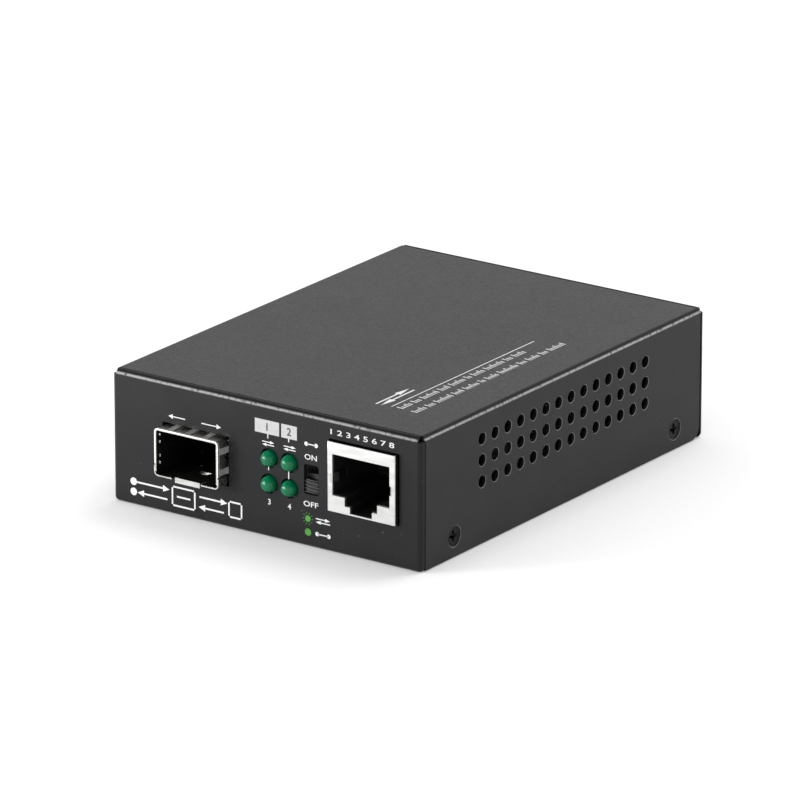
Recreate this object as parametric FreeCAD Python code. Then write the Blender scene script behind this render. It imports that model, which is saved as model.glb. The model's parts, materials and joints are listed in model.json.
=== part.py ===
import FreeCAD, Part
import math
import os

V = FreeCAD.Vector

# Fibre media converter: a small folded steel case with a fibre module port, a copper
# network port, four lamps and a slide switch on the front, and a power jack on the rear.
# Millimetres. +Z up, the front panel faces -Y, origin at the middle of the case's bottom.

# --- case -----------------------------------------------------------------------------
case_width = 70.0
case_depth = 94.0
case_height = 26.0
sheet = 0.8              # steel sheet
bend_inner = 0.2         # inside radius of the folds
return_flat = 0.1        # straight part of a panel's return behind its fold
seam_gap = 0.3           # between a panel's return and the cover's edge
corner_notch = 1.0       # relief where the top and side returns would meet
cover_fit = 0.1          # between the tray's side flanges and the cover
cover_lift = 0.2         # cover's lower edge above the surface that the tray stands on
flange_height = 8.4      # tray's side flanges
flange_relief = 1.0      # slit between the flanges and the end panels
flange_corner = 2.0      # rounded upper corners of the flanges
cover_corner = 2.5       # rounded lower corners of the cover's sides

# --- vents in the cover's sides -------------------------------------------------------
vent_diameter = 2.4
vent_flat_count = 12     # a small punched hole has flats in place of a round
vent_pitch = 4.16
vent_columns = 14
vent_rows = 3
vent_first = 19.5        # first column behind the front face
vent_top_row = 5.43      # top row below the top face

# --- cover screws (flat heads sunk below the sheet's face) ---------------------------
screw_from_front = 10.6
screw_from_rear = 10.0
screw_height = 4.2
screw_sink = 0.3         # head's face below the cover's face
screw_head = 3.6
screw_shank = 2.4
screw_length = 3.3       # from the head's face
screw_slack = 0.04       # between thread and tapped hole, and under the cone
collar_wall = 0.6        # extruded collar round the tapped hole
collar_length = 1.2
screw_flat_count = 12    # flats round screws, bores and collars
cross_width = 0.62       # driver's cross, as a share of the head
cross_depth = 0.25

# --- circuit board and its fasteners --------------------------------------------------
board_height = 6.6       # underside above the case's bottom
board_thickness = 1.6
board_side_gap = 1.2     # to the tray's flanges
board_end_gap = 0.8      # to the end panels
standoff_post = 4.6      # across the flats
standoff_hex = 5.4       # flush hexagonal head pressed into the tray
standoff_bore = 2.5
standoff_inset = 4.6     # from the board's side edges
standoff_front = 8.0     # left front one, behind the board's front edge
standoff_front_right = 22.0
standoff_rear = 6.0
board_screw_head = 5.2
board_screw_head_height = 1.9
board_screw_length = 5.0
board_hole_slack = 0.3

# --- fibre module cage ----------------------------------------------------------------
sfp_x = -15.8            # centre, from the case's middle
cage_width = 14.25
cage_height = 9.2
cage_length = 48.7
cage_proud = 3.0         # rim in front of the panel
cage_sheet = 0.25
cage_bend = 0.65         # outer radius of the shell's folds
cage_flap = 2.1          # base's side flaps outside the shell
cage_floor_gap = 2.5     # floor's end to the module connector
cage_side_gap = 0.52     # shell to the panel's opening
cage_top_gap = 0.45
cage_bottom_gap = 0.1
tongue_width = 5.7       # latch tongue in the cage's floor
tongue_slot = 0.5
tongue_length = 9.0
tongue_setback = 0.35    # its upright lip stands behind the rim
lip_length = 1.2
lip_height = 0.75
lip_rise = 0.1
pin_width = 0.5          # press pins into the board
pin_depth = 2.4
finger_sheet = 0.15      # spring fingers that earth the cage to the panel
finger_width = 1.2
finger_pitch = 3.95
finger_side_pitch = 4.05
finger_side_first = 1.98 # upper side finger below the roof
finger_band = 0.6        # band that carries them
finger_reach = 3.7
tab_start = 0.9          # small stops inside the cage's sides, behind the rim
tab_height = 0.5
tab_length = 0.9
tab_rise = 0.35

# --- module connector inside the cage -------------------------------------------------
socket_width = 12.4
socket_height = 5.6
socket_depth = 9.2
socket_rear_gap = 2.0    # to the cage's rear wall
card_slot_width = 10.6
card_slot_height = 1.7
card_slot_depth = 5.4
card_slot_level = 2.2    # slot's lower face above the board
socket_pins = 10
socket_pitch = 0.8
contact_setback = 1.0    # contacts' tips behind the socket's face
contact_tail_low = 0.5   # lower row's bend behind the socket
contact_tail_high = 1.1  # upper row's bend
blade = 0.22

# --- copper network port --------------------------------------------------------------
rj45_x = 22.3
rj45_width = 15.1
rj45_height = 13.4
rj45_depth = 21.0
rj45_proud = 1.0
rj45_lift = 0.3          # shield above the board
rj45_sheet = 0.3
rj45_gap = 0.3           # shield to the panel's opening
rj45_step = 0.55         # shield's roof below the front plate's top edge
plug_width = 12.75
plug_height = 7.95
plug_base = 3.15         # mouth's lower edge above the shield's lower edge
latch_width = 7.25
latch_height = 1.65
latch_slot_width = 4.9
plug_depth = 14.0
plug_slack = 0.12        # housing's mouth inside the shield's
rj45_pins = 8
rj45_pitch = 1.02
rj45_wire = 0.35
spring_height = 1.8      # shield's inner earthing springs
spring_length = 4.0
spring_bow = 0.3
spring_notch = 0.45      # springs start this far beside the mouth
rj45_edge = 0.25         # rounded sides of the front plate
rj45_tab = 1.2           # shield's tabs into the board
rj45_peg = 2.0           # housing's locating pegs
peg_flat_count = 12
wire_channel = 1.0       # housing's wall in front of and behind the wires

# --- lamps ----------------------------------------------------------------------------
led_x = 1.0              # left column, from the case's middle
led_pitch_x = 4.55
led_level = 2.35         # lower row above the board
led_pitch_z = 4.95
led_diameter = 3.1
led_flat_count = 16      # flats round the lamps, their bores and the panel's holes
led_band_count = 4       # bands up the dome
led_hole = 3.9
led_flange = 3.8
led_flange_length = 1.0
led_body_length = 4.2
led_proud = 0.1          # centre of the dome in front of the panel's face
holder_gap = 0.3         # holder to the panel
holder_wall = 0.75
holder_slack = 0.06
lead_bend_high = 3.2     # upper lamps' wires bend down this far behind them
lead_bend_low = 1.2      # lower lamps'
lead = 0.45
lead_pitch = 2.54

# --- slide switch ---------------------------------------------------------------------
switch_x = 10.5
switch_level = 4.95      # middle of the travel slot above the board
slot_width = 3.3
slot_height = 5.8
slot_corner = 0.5
knob_width = 2.85
knob_height = 2.65
knob_end_gap = 0.15      # to the slot's lower end
knob_setback = 0.05      # its face behind the panel's face
knob_ribs = 4
knob_rib_depth = 0.3
switch_width = 4.3
switch_case_height = 8.6
switch_depth = 4.6
switch_sheet = 0.3
switch_gap = 0.25        # case to the panel
slider_thickness = 1.2
slider_height = 4.4
slider_slack = 0.15
switch_pins = 3
switch_base_depth = 1.6
terminal_reach = 1.0     # first terminal's bend behind the switch
terminal_step = 1.1      # each next one's

# --- power jack -----------------------------------------------------------------------
jack_from_side = 16.0    # centre, from the case's left side
jack_width = 9.0
jack_height = 11.0
jack_depth = 14.0
jack_collar = 3.4
jack_setback = 0.2       # its face inside the rear panel's face
jack_gap = 0.2
jack_bore = 6.4
jack_bore_depth = 9.6
jack_chamfer = 0.6       # round the bore's mouth
jack_axis = 6.4          # above the board
jack_corner = 2.0
jack_pin = 2.05
jack_pin_short = 1.2     # pin's tip inside the mouth
jack_flat_count = 24     # flats round the bore
jack_pin_flat_count = 16
jack_body_relief = 0.5   # barrel behind the collar is narrower

# --- parts on the board ---------------------------------------------------------------
converter_size = 9.0
converter_height = 0.9
converter_chamfer = 0.1
converter_dot = 0.8      # moulded mark at the first pin
converter_dot_inset = 1.2
converter_x = 4.5
converter_from_front = 33.0
transformer_width = 15.2
transformer_depth = 9.6
transformer_height = 5.6
transformer_gap = 8.6    # behind the copper port, past a board screw
transformer_pins = 12
transformer_pin_pitch = 1.1
transformer_chamfer = 0.5
transformer_lead_level = 2.0
gull_width = 0.4         # bent leads of the packages
gull_sheet = 0.2
gull_knee = 0.8          # where a lead reaches the board, from the package
gull_toe = 1.4
crystal_length = 11.0
crystal_width = 4.6
crystal_height = 3.6
crystal_foot = 0.5       # height of its flange
crystal_flange = 0.4     # how far the flange stands out
crystal_x = 4.5
crystal_from_front = 23.0
memory_x = 20.0
memory_from_rear = 30.0
power_x = 12.0
power_from_rear = 19.0
soic_length = 4.9
soic_width = 3.9
soic_height = 1.5
soic_chamfer = 0.25
soic_lead_level = 0.6
soic_pins = 4
soic_pitch = 1.27
capacitor_diameter = 6.3
capacitor_height = 7.2
capacitor_base = 1.4
capacitor_flat_count = 12
capacitor_groove = 0.3   # depth of the rolled groove, and half its width
capacitor_groove_level = 1.0
capacitor_skirt = 0.15   # base beyond the can
capacitor_cut = 1.2      # cut corners of the base
capacitor_x = -5.5
capacitor_pitch = 8.6
capacitor_count = 3
capacitor_from_rear = 8.0
inductor_size = 7.0
inductor_height = 4.2
inductor_corner = 1.2
inductor_ring = 5.6      # groove round the ferrite's core
inductor_core = 4.8
inductor_groove = 0.3
inductor_flat_count = 16
inductor_x = 4.5
inductor_from_rear = 19.0
diode_length = 4.4
diode_width = 2.6
diode_height = 2.2
diode_chamfer = 0.25
diode_x = -7.0
diode_from_rear = 19.5
chip_length = 1.6
chip_width = 0.8
chip_height = 0.55
chip_pitch = 2.6
chip_row_pitch = 3.64
resistor_rows = 2
resistor_columns = 5
resistor_x = 17.0
resistor_from_front = 46.0
small_capacitor_columns = 7
small_capacitor_rows = 2
small_capacitor_x = -14.0
small_capacitor_from_rear = 30.0

# --- derived places -------------------------------------------------------------------
front = -case_depth / 2
rear = case_depth / 2
side = case_width / 2
bend_outer = bend_inner + sheet
return_depth = bend_outer + return_flat
cover_start = return_depth + seam_gap
flange_face = side - sheet - cover_fit
board_top = board_height + board_thickness
board_half = flange_face - sheet - board_side_gap
jack_x = jack_from_side - side
board_front = front + sheet + board_end_gap
board_rear = rear - sheet - board_end_gap
overlap = 1.0            # how far cutting tools run past the faces they cut


# --- helpers --------------------------------------------------------------------------
def box(x0, x1, y0, y1, z0, z1):
    return Part.makeBox(x1 - x0, y1 - y0, z1 - z0, V(x0, y0, z0))


def placed(u, v, axis, level):
    """A point of a profile that will be pushed along the given axis."""
    if axis == "x":
        return V(level, u, v)
    if axis == "y":
        return V(u, level, v)
    return V(u, v, level)


def outline(corners, axis, level):
    """Closed wire through (u, v, radius) corners, each rounded by a tangent arc."""
    count = len(corners)
    ends = []
    for index in range(count):
        u, v, radius = corners[index]
        before = corners[index - 1]
        after = corners[(index + 1) % count]
        here = V(u, v, 0)
        to_before = (V(before[0], before[1], 0) - here).normalize()
        to_after = (V(after[0], after[1], 0) - here).normalize()
        if radius == 0:
            ends.append((here, None, here))
            continue
        half = to_before.getAngle(to_after) / 2
        reach = radius / math.tan(half)
        inward = (to_before + to_after).normalize()
        middle = here + inward * (radius / math.sin(half) - radius)
        ends.append((here + to_before * reach, middle, here + to_after * reach))
    edges = []
    for index in range(count):
        start, middle, stop = [p and placed(p.x, p.y, axis, level) for p in ends[index]]
        if middle:
            edges.append(Part.Arc(start, middle, stop).toShape())
        following = ends[(index + 1) % count][0]
        following = placed(following.x, following.y, axis, level)
        if stop.distanceToPoint(following) > 1e-6:
            edges.append(Part.LineSegment(stop, following).toShape())
    return Part.Wire(edges)


def prism(corners, axis, start, stop):
    """The outline pushed along the axis from start to stop."""
    push = placed(0, 0, axis, stop - start)
    return Part.Face(outline(corners, axis, start)).extrude(push)


def rectangle(u0, u1, v0, v1, radius=0):
    return [(u0, v0, radius), (u1, v0, radius), (u1, v1, radius), (u0, v1, radius)]


def channel(width, height, wall, inner, floor=0.0, upside_down=False):
    """Corners of a folded U of one sheet; its web is at the floor."""
    half = width / 2
    outer = inner + wall if inner else 0
    turn = -1 if upside_down else 1
    points = [
        (-half, 0, outer), (half, 0, outer), (half, height, 0), (half - wall, height, 0),
        (half - wall, wall, inner), (wall - half, wall, inner), (wall - half, height, 0),
        (-half, height, 0),
    ]
    return [(u, floor + turn * v, radius) for u, v, radius in points]


def shifted(corners, move):
    return [(u + move, v, radius) for u, v, radius in corners]


def flat_ring(diameter, flats, distance):
    """Corners of a regular outline, half inside and half outside its circle."""
    reach = diameter / 2 / math.sqrt(math.cos(math.pi / flats))
    angles = [math.pi * (2 * count + 1) / flats for count in range(flats)]
    return [V(reach * math.cos(angle), reach * math.sin(angle), distance) for angle in angles]


def turned(profile, flats, origin, direction):
    """Turning with flats: (radius, distance) rings in order, skinned and closed at both ends."""
    rings = [flat_ring(2 * radius, flats, distance) for radius, distance in profile]
    outlines = [ring + ring[:1] for ring in (rings[0], rings[-1])]
    for low, high in zip(rings, rings[1:]):
        for count in range(flats):
            after = (count + 1) % flats
            outlines.append([low[count], low[after], high[after], high[count], low[count]])
    faces = [Part.Face(Part.makePolygon(points)) for points in outlines]
    solid = Part.makeSolid(Part.makeShell(faces)).removeSplitter()
    if solid.Volume < 0:
        solid.reverse()
    solid.Placement = FreeCAD.Placement(origin, FreeCAD.Rotation(V(0, 0, 1), direction))
    return solid


def rod(diameter, flats, start, direction, length):
    """Straight rod with flats."""
    return turned([(diameter / 2, 0), (diameter / 2, length)], flats, start, direction)


def joined(solids):
    first = solids[0]
    if len(solids) == 1:
        return first
    return first.fuse(solids[1:]).removeSplitter()


def mirrored(shape):
    """The same shape on the other side of the case's middle."""
    return shape.mirror(V(0, 0, 0), V(1, 0, 0))


def with_mirror(shapes):
    return shapes + [mirrored(shape) for shape in shapes]


def strip(path, wall, axis, start, stop):
    """A bent strip: the path's points are one face, the other lies a wall away."""
    inner = []
    for index, (u, v) in enumerate(path):
        before = path[max(index - 1, 0)]
        after = path[min(index + 1, len(path) - 1)]
        along_in = V(u - before[0], v - before[1], 0)
        along_out = V(after[0] - u, after[1] - v, 0)
        normals = [V(-d.y, d.x, 0).normalize() for d in (along_in, along_out) if d.Length > 1e-9]
        mean = normals[0] + normals[-1]
        mean.normalize()
        offset = mean * (wall / mean.dot(normals[0]))
        inner.append((u + offset.x, v + offset.y))
    corners = [(u, v, 0) for u, v in path + inner[::-1]]
    return prism(corners, axis, start, stop)


# --- places shared by pieces that meet ------------------------------------------------
def screw_places():
    return [front + screw_from_front, rear - screw_from_rear]


def standoff_places():
    x = board_half - standoff_inset
    return [
        (-x, board_front + standoff_front),
        (x, board_front + standoff_front_right),
        (-x, board_rear - standoff_rear),
        (x, board_rear - standoff_rear),
    ]


def led_places():
    low = board_top + led_level
    rows = {"upper": low + led_pitch_z, "lower": low}
    columns = {"left": led_x, "right": led_x + led_pitch_x}
    places = {}
    for row, z in rows.items():
        for column, x in columns.items():
            places[f"led_{row}_{column}"] = (x, z)
    return places


def rj45_base():
    return board_top + rj45_lift


def plug_mouth(slack=0.0):
    """Outline of the plug's mouth with its two steps for the latch."""
    low = rj45_base() + plug_base + slack
    wide = plug_width / 2 - slack
    middle = latch_width / 2 - slack
    narrow = latch_slot_width / 2 - slack
    step = low - latch_height
    floor = rj45_base() + rj45_sheet
    top = low + plug_height - 2 * slack
    points = [
        (-wide, top, 0), (-wide, low, 0), (-middle, low, 0), (-middle, step, 0),
        (-narrow, step, 0), (-narrow, floor, 0), (narrow, floor, 0), (narrow, step, 0),
        (middle, step, 0), (middle, low, 0), (wide, low, 0), (wide, top, 0),
    ]
    return shifted(points, rj45_x)


def switch_middle():
    return board_top + switch_level


def knob_bottom():
    return switch_middle() - slot_height / 2 + knob_end_gap


def knob_travel():
    return slot_height - knob_height - 2 * knob_end_gap


def jack_outline(slack=0.0):
    low = board_top - slack
    half = jack_width / 2 + slack
    high = board_top + jack_height + slack
    corner = jack_corner + slack
    return [
        (jack_x - half, low, 0), (jack_x + half, low, 0),
        (jack_x + half, high, corner), (jack_x - half, high, corner),
    ]


# --- case -----------------------------------------------------------------------------
def end_block():
    """Outer form of one drawn end, facing -Y: all its edges are folded but the open rear ones."""
    block = box(-side, side, front, front + return_depth, 0, case_height)
    edges = []
    for edge in block.Edges:
        on_face = abs(edge.CenterOfMass.y - front) < 1e-6
        along_depth = abs(edge.tangentAt(edge.FirstParameter).y) > 0.9
        if on_face or along_depth:
            edges.append(edge)
    return block.makeFillet(bend_outer, edges)


def tray_end():
    inside = box(sheet - side, side - sheet, front + sheet, front + return_depth + overlap,
                 sheet, case_height - sheet)
    shell = end_block().cut(inside)
    for turn in (-1, 1):
        corner = turn * side
        inner = turn * (side - corner_notch)
        notch = box(
            min(corner, inner) - (overlap if turn < 0 else 0),
            max(corner, inner) + (overlap if turn > 0 else 0),
            front - overlap, front + return_depth + overlap,
            case_height - corner_notch, case_height + overlap,
        )
        shell = shell.cut(notch)
    return shell


def side_flanges():
    """Both upright flanges with their folds, as one channel between the slits."""
    start = front + return_depth + flange_relief
    stop = rear - return_depth - flange_relief
    walls = prism(channel(2 * flange_face, flange_height, sheet, bend_inner), "y", start, stop)
    trimmed = [
        (start, -overlap, 0), (stop, -overlap, 0),
        (stop, flange_height, flange_corner), (start, flange_height, flange_corner),
    ]
    return walls.common(prism(trimmed, "x", -side, side))


def tapped_collars():
    tip = flange_face - sheet - collar_length
    outer = screw_shank + 2 * collar_wall
    collars = []
    for y in screw_places():
        start = V(tip, y, screw_height)
        collars.append(rod(outer, screw_flat_count, start, V(1, 0, 0), collar_length + sheet / 2))
    return with_mirror(collars)


def tray_screw_holes():
    """Bores through the flanges and their collars."""
    tip = flange_face - sheet - collar_length - overlap
    reach = flange_face + overlap - tip
    cuts = []
    for y in screw_places():
        start = V(tip, y, screw_height)
        cuts.append(rod(screw_shank + 2 * screw_slack, screw_flat_count, start, V(1, 0, 0), reach))
    return with_mirror(cuts)


def cone_radius(x):
    """Radius of the screw's 90 degree cone at a distance from the case's middle."""
    return screw_head / 2 - (side - screw_sink - x)


def led_holes():
    holes = []
    for x, z in led_places().values():
        start = V(x, front - overlap, z)
        holes.append(rod(led_hole, led_flat_count, start, V(0, 1, 0), sheet + 2 * overlap))
    return holes


def panel_openings():
    """Front cut-outs: module port, copper port and switch slot; rear: power jack."""
    near = front - overlap
    far = front + sheet + overlap
    cage = rectangle(
        sfp_x - cage_width / 2 - cage_side_gap, sfp_x + cage_width / 2 + cage_side_gap,
        board_top - cage_bottom_gap, board_top + cage_height + cage_top_gap,
    )
    copper = rectangle(
        rj45_x - rj45_width / 2 - rj45_gap, rj45_x + rj45_width / 2 + rj45_gap,
        rj45_base() - rj45_gap, rj45_base() + rj45_height + rj45_gap / 2,
    )
    slot = rectangle(
        switch_x - slot_width / 2, switch_x + slot_width / 2,
        switch_middle() - slot_height / 2, switch_middle() + slot_height / 2, slot_corner,
    )
    cuts = [prism(corners, "y", near, far) for corners in (cage, copper, slot)]
    cuts.append(prism(jack_outline(jack_gap), "y", rear - sheet - overlap, rear + overlap))
    return cuts


def hexagon(across, x, y, z0, z1):
    radius = across / math.sqrt(3)
    points = []
    for step in range(6):
        angle = math.radians(60 * step)
        points.append((x + radius * math.cos(angle), y + radius * math.sin(angle), 0))
    return prism(points, "z", z0, z1)


def base_tray():
    front_end = tray_end()
    rear_end = front_end.mirror(V(0, 0, 0), V(0, 1, 0))
    half = flange_face - bend_outer
    plate = box(-half, half, front + bend_outer, rear - bend_outer, 0, sheet)
    body = joined([plate, front_end, rear_end, side_flanges()] + tapped_collars())
    cuts = tray_screw_holes() + led_holes() + panel_openings()
    for x, y in standoff_places():
        cuts.append(hexagon(standoff_hex, x, y, -overlap, sheet + overlap))
    return body.cut(cuts)


def top_cover():
    start = front + cover_start
    stop = rear - cover_start
    drop = case_height - cover_lift
    profile = channel(case_width, drop, sheet, bend_inner, case_height, True)
    trimmed = [
        (start, cover_lift, 0), (stop, cover_lift, cover_corner),
        (stop, case_height + overlap, 0), (start, case_height + overlap, 0),
    ]
    body = prism(profile, "y", start, stop).common(prism(trimmed, "x", -side, side))
    cuts = []
    for row in range(vent_rows):
        for column in range(vent_columns):
            y = front + vent_first + column * vent_pitch
            z = case_height - vent_top_row - row * vent_pitch
            place = V(-side - overlap, y, z)
            cuts.append(rod(vent_diameter, vent_flat_count, place, V(1, 0, 0), case_width + 2 * overlap))
    wide = cone_radius(side) + screw_slack
    narrow = cone_radius(side - sheet) + screw_slack
    reach = overlap / 4
    profile = [(narrow - reach, -sheet - reach), (wide + reach, reach)]
    cones = [turned(profile, screw_flat_count, V(side, y, screw_height), V(1, 0, 0)) for y in screw_places()]
    return body.cut(cuts + with_mirror(cones))


def cross_recess(size, depth):
    """Tapered cross for a driver, pointing down from the origin."""
    arm = size / 2
    thick = size / 7
    corners = [
        V(-arm, 0, 0), V(arm, 0, 0), V(arm * 0.35, 0, -depth), V(-arm * 0.35, 0, -depth),
    ]
    blade_face = Part.Face(Part.makePolygon(corners + corners[:1]))
    first = blade_face.extrude(V(0, 2 * thick, 0))
    first.translate(V(0, -thick, 0))
    second = first.copy()
    second.rotate(V(0, 0, 0), V(0, 0, 1), 90)
    return first.fuse(second)


def cover_screws():
    """Four flat head screws through the cover into the tray's collars."""
    cone = (screw_head - screw_shank) / 2
    profile = [
        (screw_head / 2, 0), (screw_shank / 2, -cone), (screw_shank / 2, -screw_length),
    ]
    screws = []
    for y in screw_places():
        screw = turned(profile, screw_flat_count, V(0, 0, 0), V(0, 0, 1))
        screw = screw.cut(cross_recess(screw_head * cross_width, screw_head * cross_depth))
        turn = FreeCAD.Rotation(V(0, 0, 1), V(1, 0, 0))
        screw.Placement = FreeCAD.Placement(V(side - screw_sink, y, screw_height), turn)
        screws.append(screw)
    return with_mirror(screws)


def board_standoffs():
    posts = []
    for x, y in standoff_places():
        foot = hexagon(standoff_hex, x, y, 0, sheet)
        post = joined([foot, hexagon(standoff_post, x, y, sheet, board_height)])
        start = V(x, y, sheet + overlap)
        posts.append(post.cut(
            rod(standoff_bore + 2 * screw_slack, screw_flat_count, start, V(0, 0, 1), board_height)))
    return posts


def circuit_board():
    body = box(-board_half, board_half, board_front, board_rear, board_height, board_top)
    hole = standoff_bore + 2 * board_hole_slack
    cuts = []
    for x, y in standoff_places():
        start = V(x, y, board_height - overlap)
        cuts.append(rod(hole, screw_flat_count, start, V(0, 0, 1), board_thickness + 2 * overlap))
    for x in cage_pin_columns():
        for y in cage_pin_rows():
            cuts.append(pin_hole(x, y))
    return body.cut(cuts)


def pin_hole(x, y):
    size = pin_width / 2 + screw_slack
    return box(x - size, x + size, y - size, y + size, board_height - overlap, board_top + overlap)


def board_screws():
    radius = board_screw_head / 2
    profile = [
        (radius * 0.7, board_screw_head_height), (radius, board_screw_head_height * 0.55),
        (radius, 0), (standoff_bore / 2, 0), (standoff_bore / 2, -board_screw_length),
    ]
    screws = []
    for x, y in standoff_places():
        screw = turned(profile, screw_flat_count, V(0, 0, 0), V(0, 0, 1))
        cross = cross_recess(board_screw_head * cross_width, board_screw_head_height * 0.6)
        cross.translate(V(0, 0, board_screw_head_height))
        screw = screw.cut(cross)
        screw.translate(V(x, y, board_top))
        screws.append(screw)
    return screws


# --- fibre module port ----------------------------------------------------------------
def cage_front():
    return front - cage_proud


def cage_rear():
    return cage_front() + cage_length


def cage_pin_columns():
    half = cage_width / 2 - cage_sheet / 2
    return [sfp_x - half, sfp_x + half]


def cage_pin_rows():
    step = cage_length / 5
    return [cage_front() + step * count for count in (1.5, 3, 4.5)]


def sfp_cage_shell():
    """Roof, sides and rear wall in one folded sheet, with press pins and spring tabs."""
    roof = board_top + cage_height
    height = cage_height - cage_sheet - cage_bend
    profile = channel(cage_width, height, cage_sheet, cage_bend - cage_sheet, roof, True)
    shell = prism(shifted(profile, sfp_x), "y", cage_front(), cage_rear())
    inner = cage_width / 2 - cage_sheet
    back = box(
        sfp_x - inner, sfp_x + inner, cage_rear() - cage_sheet, cage_rear(),
        board_top + cage_height * 0.1, roof - cage_sheet)
    solids = [shell, back]
    for x in cage_pin_columns():
        for y in cage_pin_rows():
            half = cage_sheet / 2
            solids.append(box(x - half, x + half, y - pin_width / 2, y + pin_width / 2,
                              board_top - pin_depth / 2, roof - height + cage_sheet))
    near = cage_front() + tab_start
    for turn in (-1, 1):
        wall = sfp_x + turn * inner
        tip = wall - turn * tab_rise
        wedge = [(wall, near, 0), (tip, near, 0), (wall, near + tab_length, 0)]
        for level in (0.12, 0.27, 0.56, 0.71):
            z = roof - cage_sheet - level * cage_height
            solids.append(prism(wedge, "z", z - tab_height / 2, z + tab_height / 2))
    return joined(solids)


def sfp_cage_base():
    """Floor with side flaps outside the shell and a latch tongue with a turned lip."""
    start = cage_front()
    stop = socket_front() - cage_floor_gap
    profile = channel(cage_width + 2 * cage_sheet, cage_flap, cage_sheet, cage_bend, board_top)
    floor = prism(shifted(profile, sfp_x), "y", start, stop)
    half = tongue_width / 2
    near = start - overlap
    far = start + tongue_length
    low = board_top - overlap
    high = board_top + 2 * cage_sheet
    cuts = [
        box(sfp_x - half - tongue_slot, sfp_x - half, near, far, low, high),
        box(sfp_x + half, sfp_x + half + tongue_slot, near, far, low, high),
        box(sfp_x - half - tongue_slot, sfp_x + half + tongue_slot,
            near, start + tongue_setback + lip_length, low, high),
    ]
    latch = [
        (sfp_x, start + tongue_length * 0.4, 0), (sfp_x + half * 0.5, start + tongue_length * 0.7, 0),
        (sfp_x - half * 0.5, start + tongue_length * 0.7, 0),
    ]
    cuts.append(prism(latch, "z", low, high))
    for y in cage_pin_rows():
        for x in cage_pin_columns():
            room = cage_sheet
            cuts.append(box(x - room, x + room, y - pin_width, y + pin_width, low, high + cage_bend))
    floor = floor.cut(cuts)
    foot = start + tongue_setback + cage_sheet
    crest = board_top + lip_rise
    lip_path = [(foot, crest - lip_height), (foot, crest), (foot + lip_length, board_top)]
    lip = strip(lip_path, cage_sheet, "x", sfp_x - half, sfp_x + half)
    return joined([floor, lip])


def finger(rise):
    """Bowed spring: (distance back, height) points of its outer face."""
    low = finger_sheet
    return [(0, low), (finger_reach * 0.35, low + (rise - low) * 0.4),
            (finger_reach * 0.75, rise), (finger_reach, 2 * low)]


def sfp_emi_fingers():
    """Band round the rim with three fingers on the roof and two on each side."""
    start = cage_front()
    stop = start + finger_band
    roof = board_top + cage_height
    low = board_top + cage_flap + cage_sheet
    profile = channel(
        cage_width + 2 * finger_sheet, roof + finger_sheet - low, finger_sheet,
        cage_bend, roof + finger_sheet, True)
    band = prism(shifted(profile, sfp_x), "y", start, stop)
    solids = [band]
    root = stop - finger_sheet
    for count in (-1, 0, 1):
        x = sfp_x + count * finger_pitch
        path = [(root + u, roof + v) for u, v in finger(cage_top_gap - screw_slack)]
        solids.append(strip(path[::-1], finger_sheet, "x", x - finger_width / 2, x + finger_width / 2))
    for turn in (-1, 1):
        wall = sfp_x + turn * cage_width / 2
        for count in (0, 1):
            z = roof - finger_side_first - finger_side_pitch * count
            path = [(wall + turn * v, root + u) for u, v in finger(cage_side_gap - screw_slack)]
            if turn < 0:
                path = path[::-1]
            solids.append(strip(path, finger_sheet, "z", z - finger_width / 2, z + finger_width / 2))
    return joined(solids)


def socket_front():
    return cage_rear() - socket_rear_gap - socket_depth


def socket_rows():
    """Heights of the two rows of contacts, at the roof and floor of the card slot."""
    level = board_top + card_slot_level
    return [level - blade, level + card_slot_height]


def sfp_connector_housing():
    start = socket_front()
    stop = start + socket_depth
    half = socket_width / 2
    body = box(sfp_x - half, sfp_x + half, start, stop, board_top, board_top + socket_height)
    slot_half = card_slot_width / 2
    low = board_top + card_slot_level
    slot = box(sfp_x - slot_half, sfp_x + slot_half, start - overlap, start + card_slot_depth,
               low, low + card_slot_height)
    cuts = [slot]
    row_half = socket_pins * socket_pitch / 2
    for z in socket_rows():
        cuts.append(box(sfp_x - row_half, sfp_x + row_half, start + contact_setback / 2, stop + overlap,
                        z - screw_slack, z + blade + screw_slack))
    return body.cut(cuts)


def sfp_connector_contacts():
    """Two rows of bent blades from the card slot back and down to the board."""
    start = socket_front()
    lower, upper = socket_rows()
    contacts = []
    for row, reach in ((lower, contact_tail_low), (upper, contact_tail_high)):
        back = start + socket_depth + reach
        path = [(start + contact_setback, row), (back, row), (back, board_top)]
        for count in range(socket_pins):
            x = sfp_x + (count - (socket_pins - 1) / 2) * socket_pitch
            contacts.append(strip(path, blade, "x", x - blade, x + blade))
    return contacts


# --- copper network port --------------------------------------------------------------
def rj45_front():
    return front - rj45_proud


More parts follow.
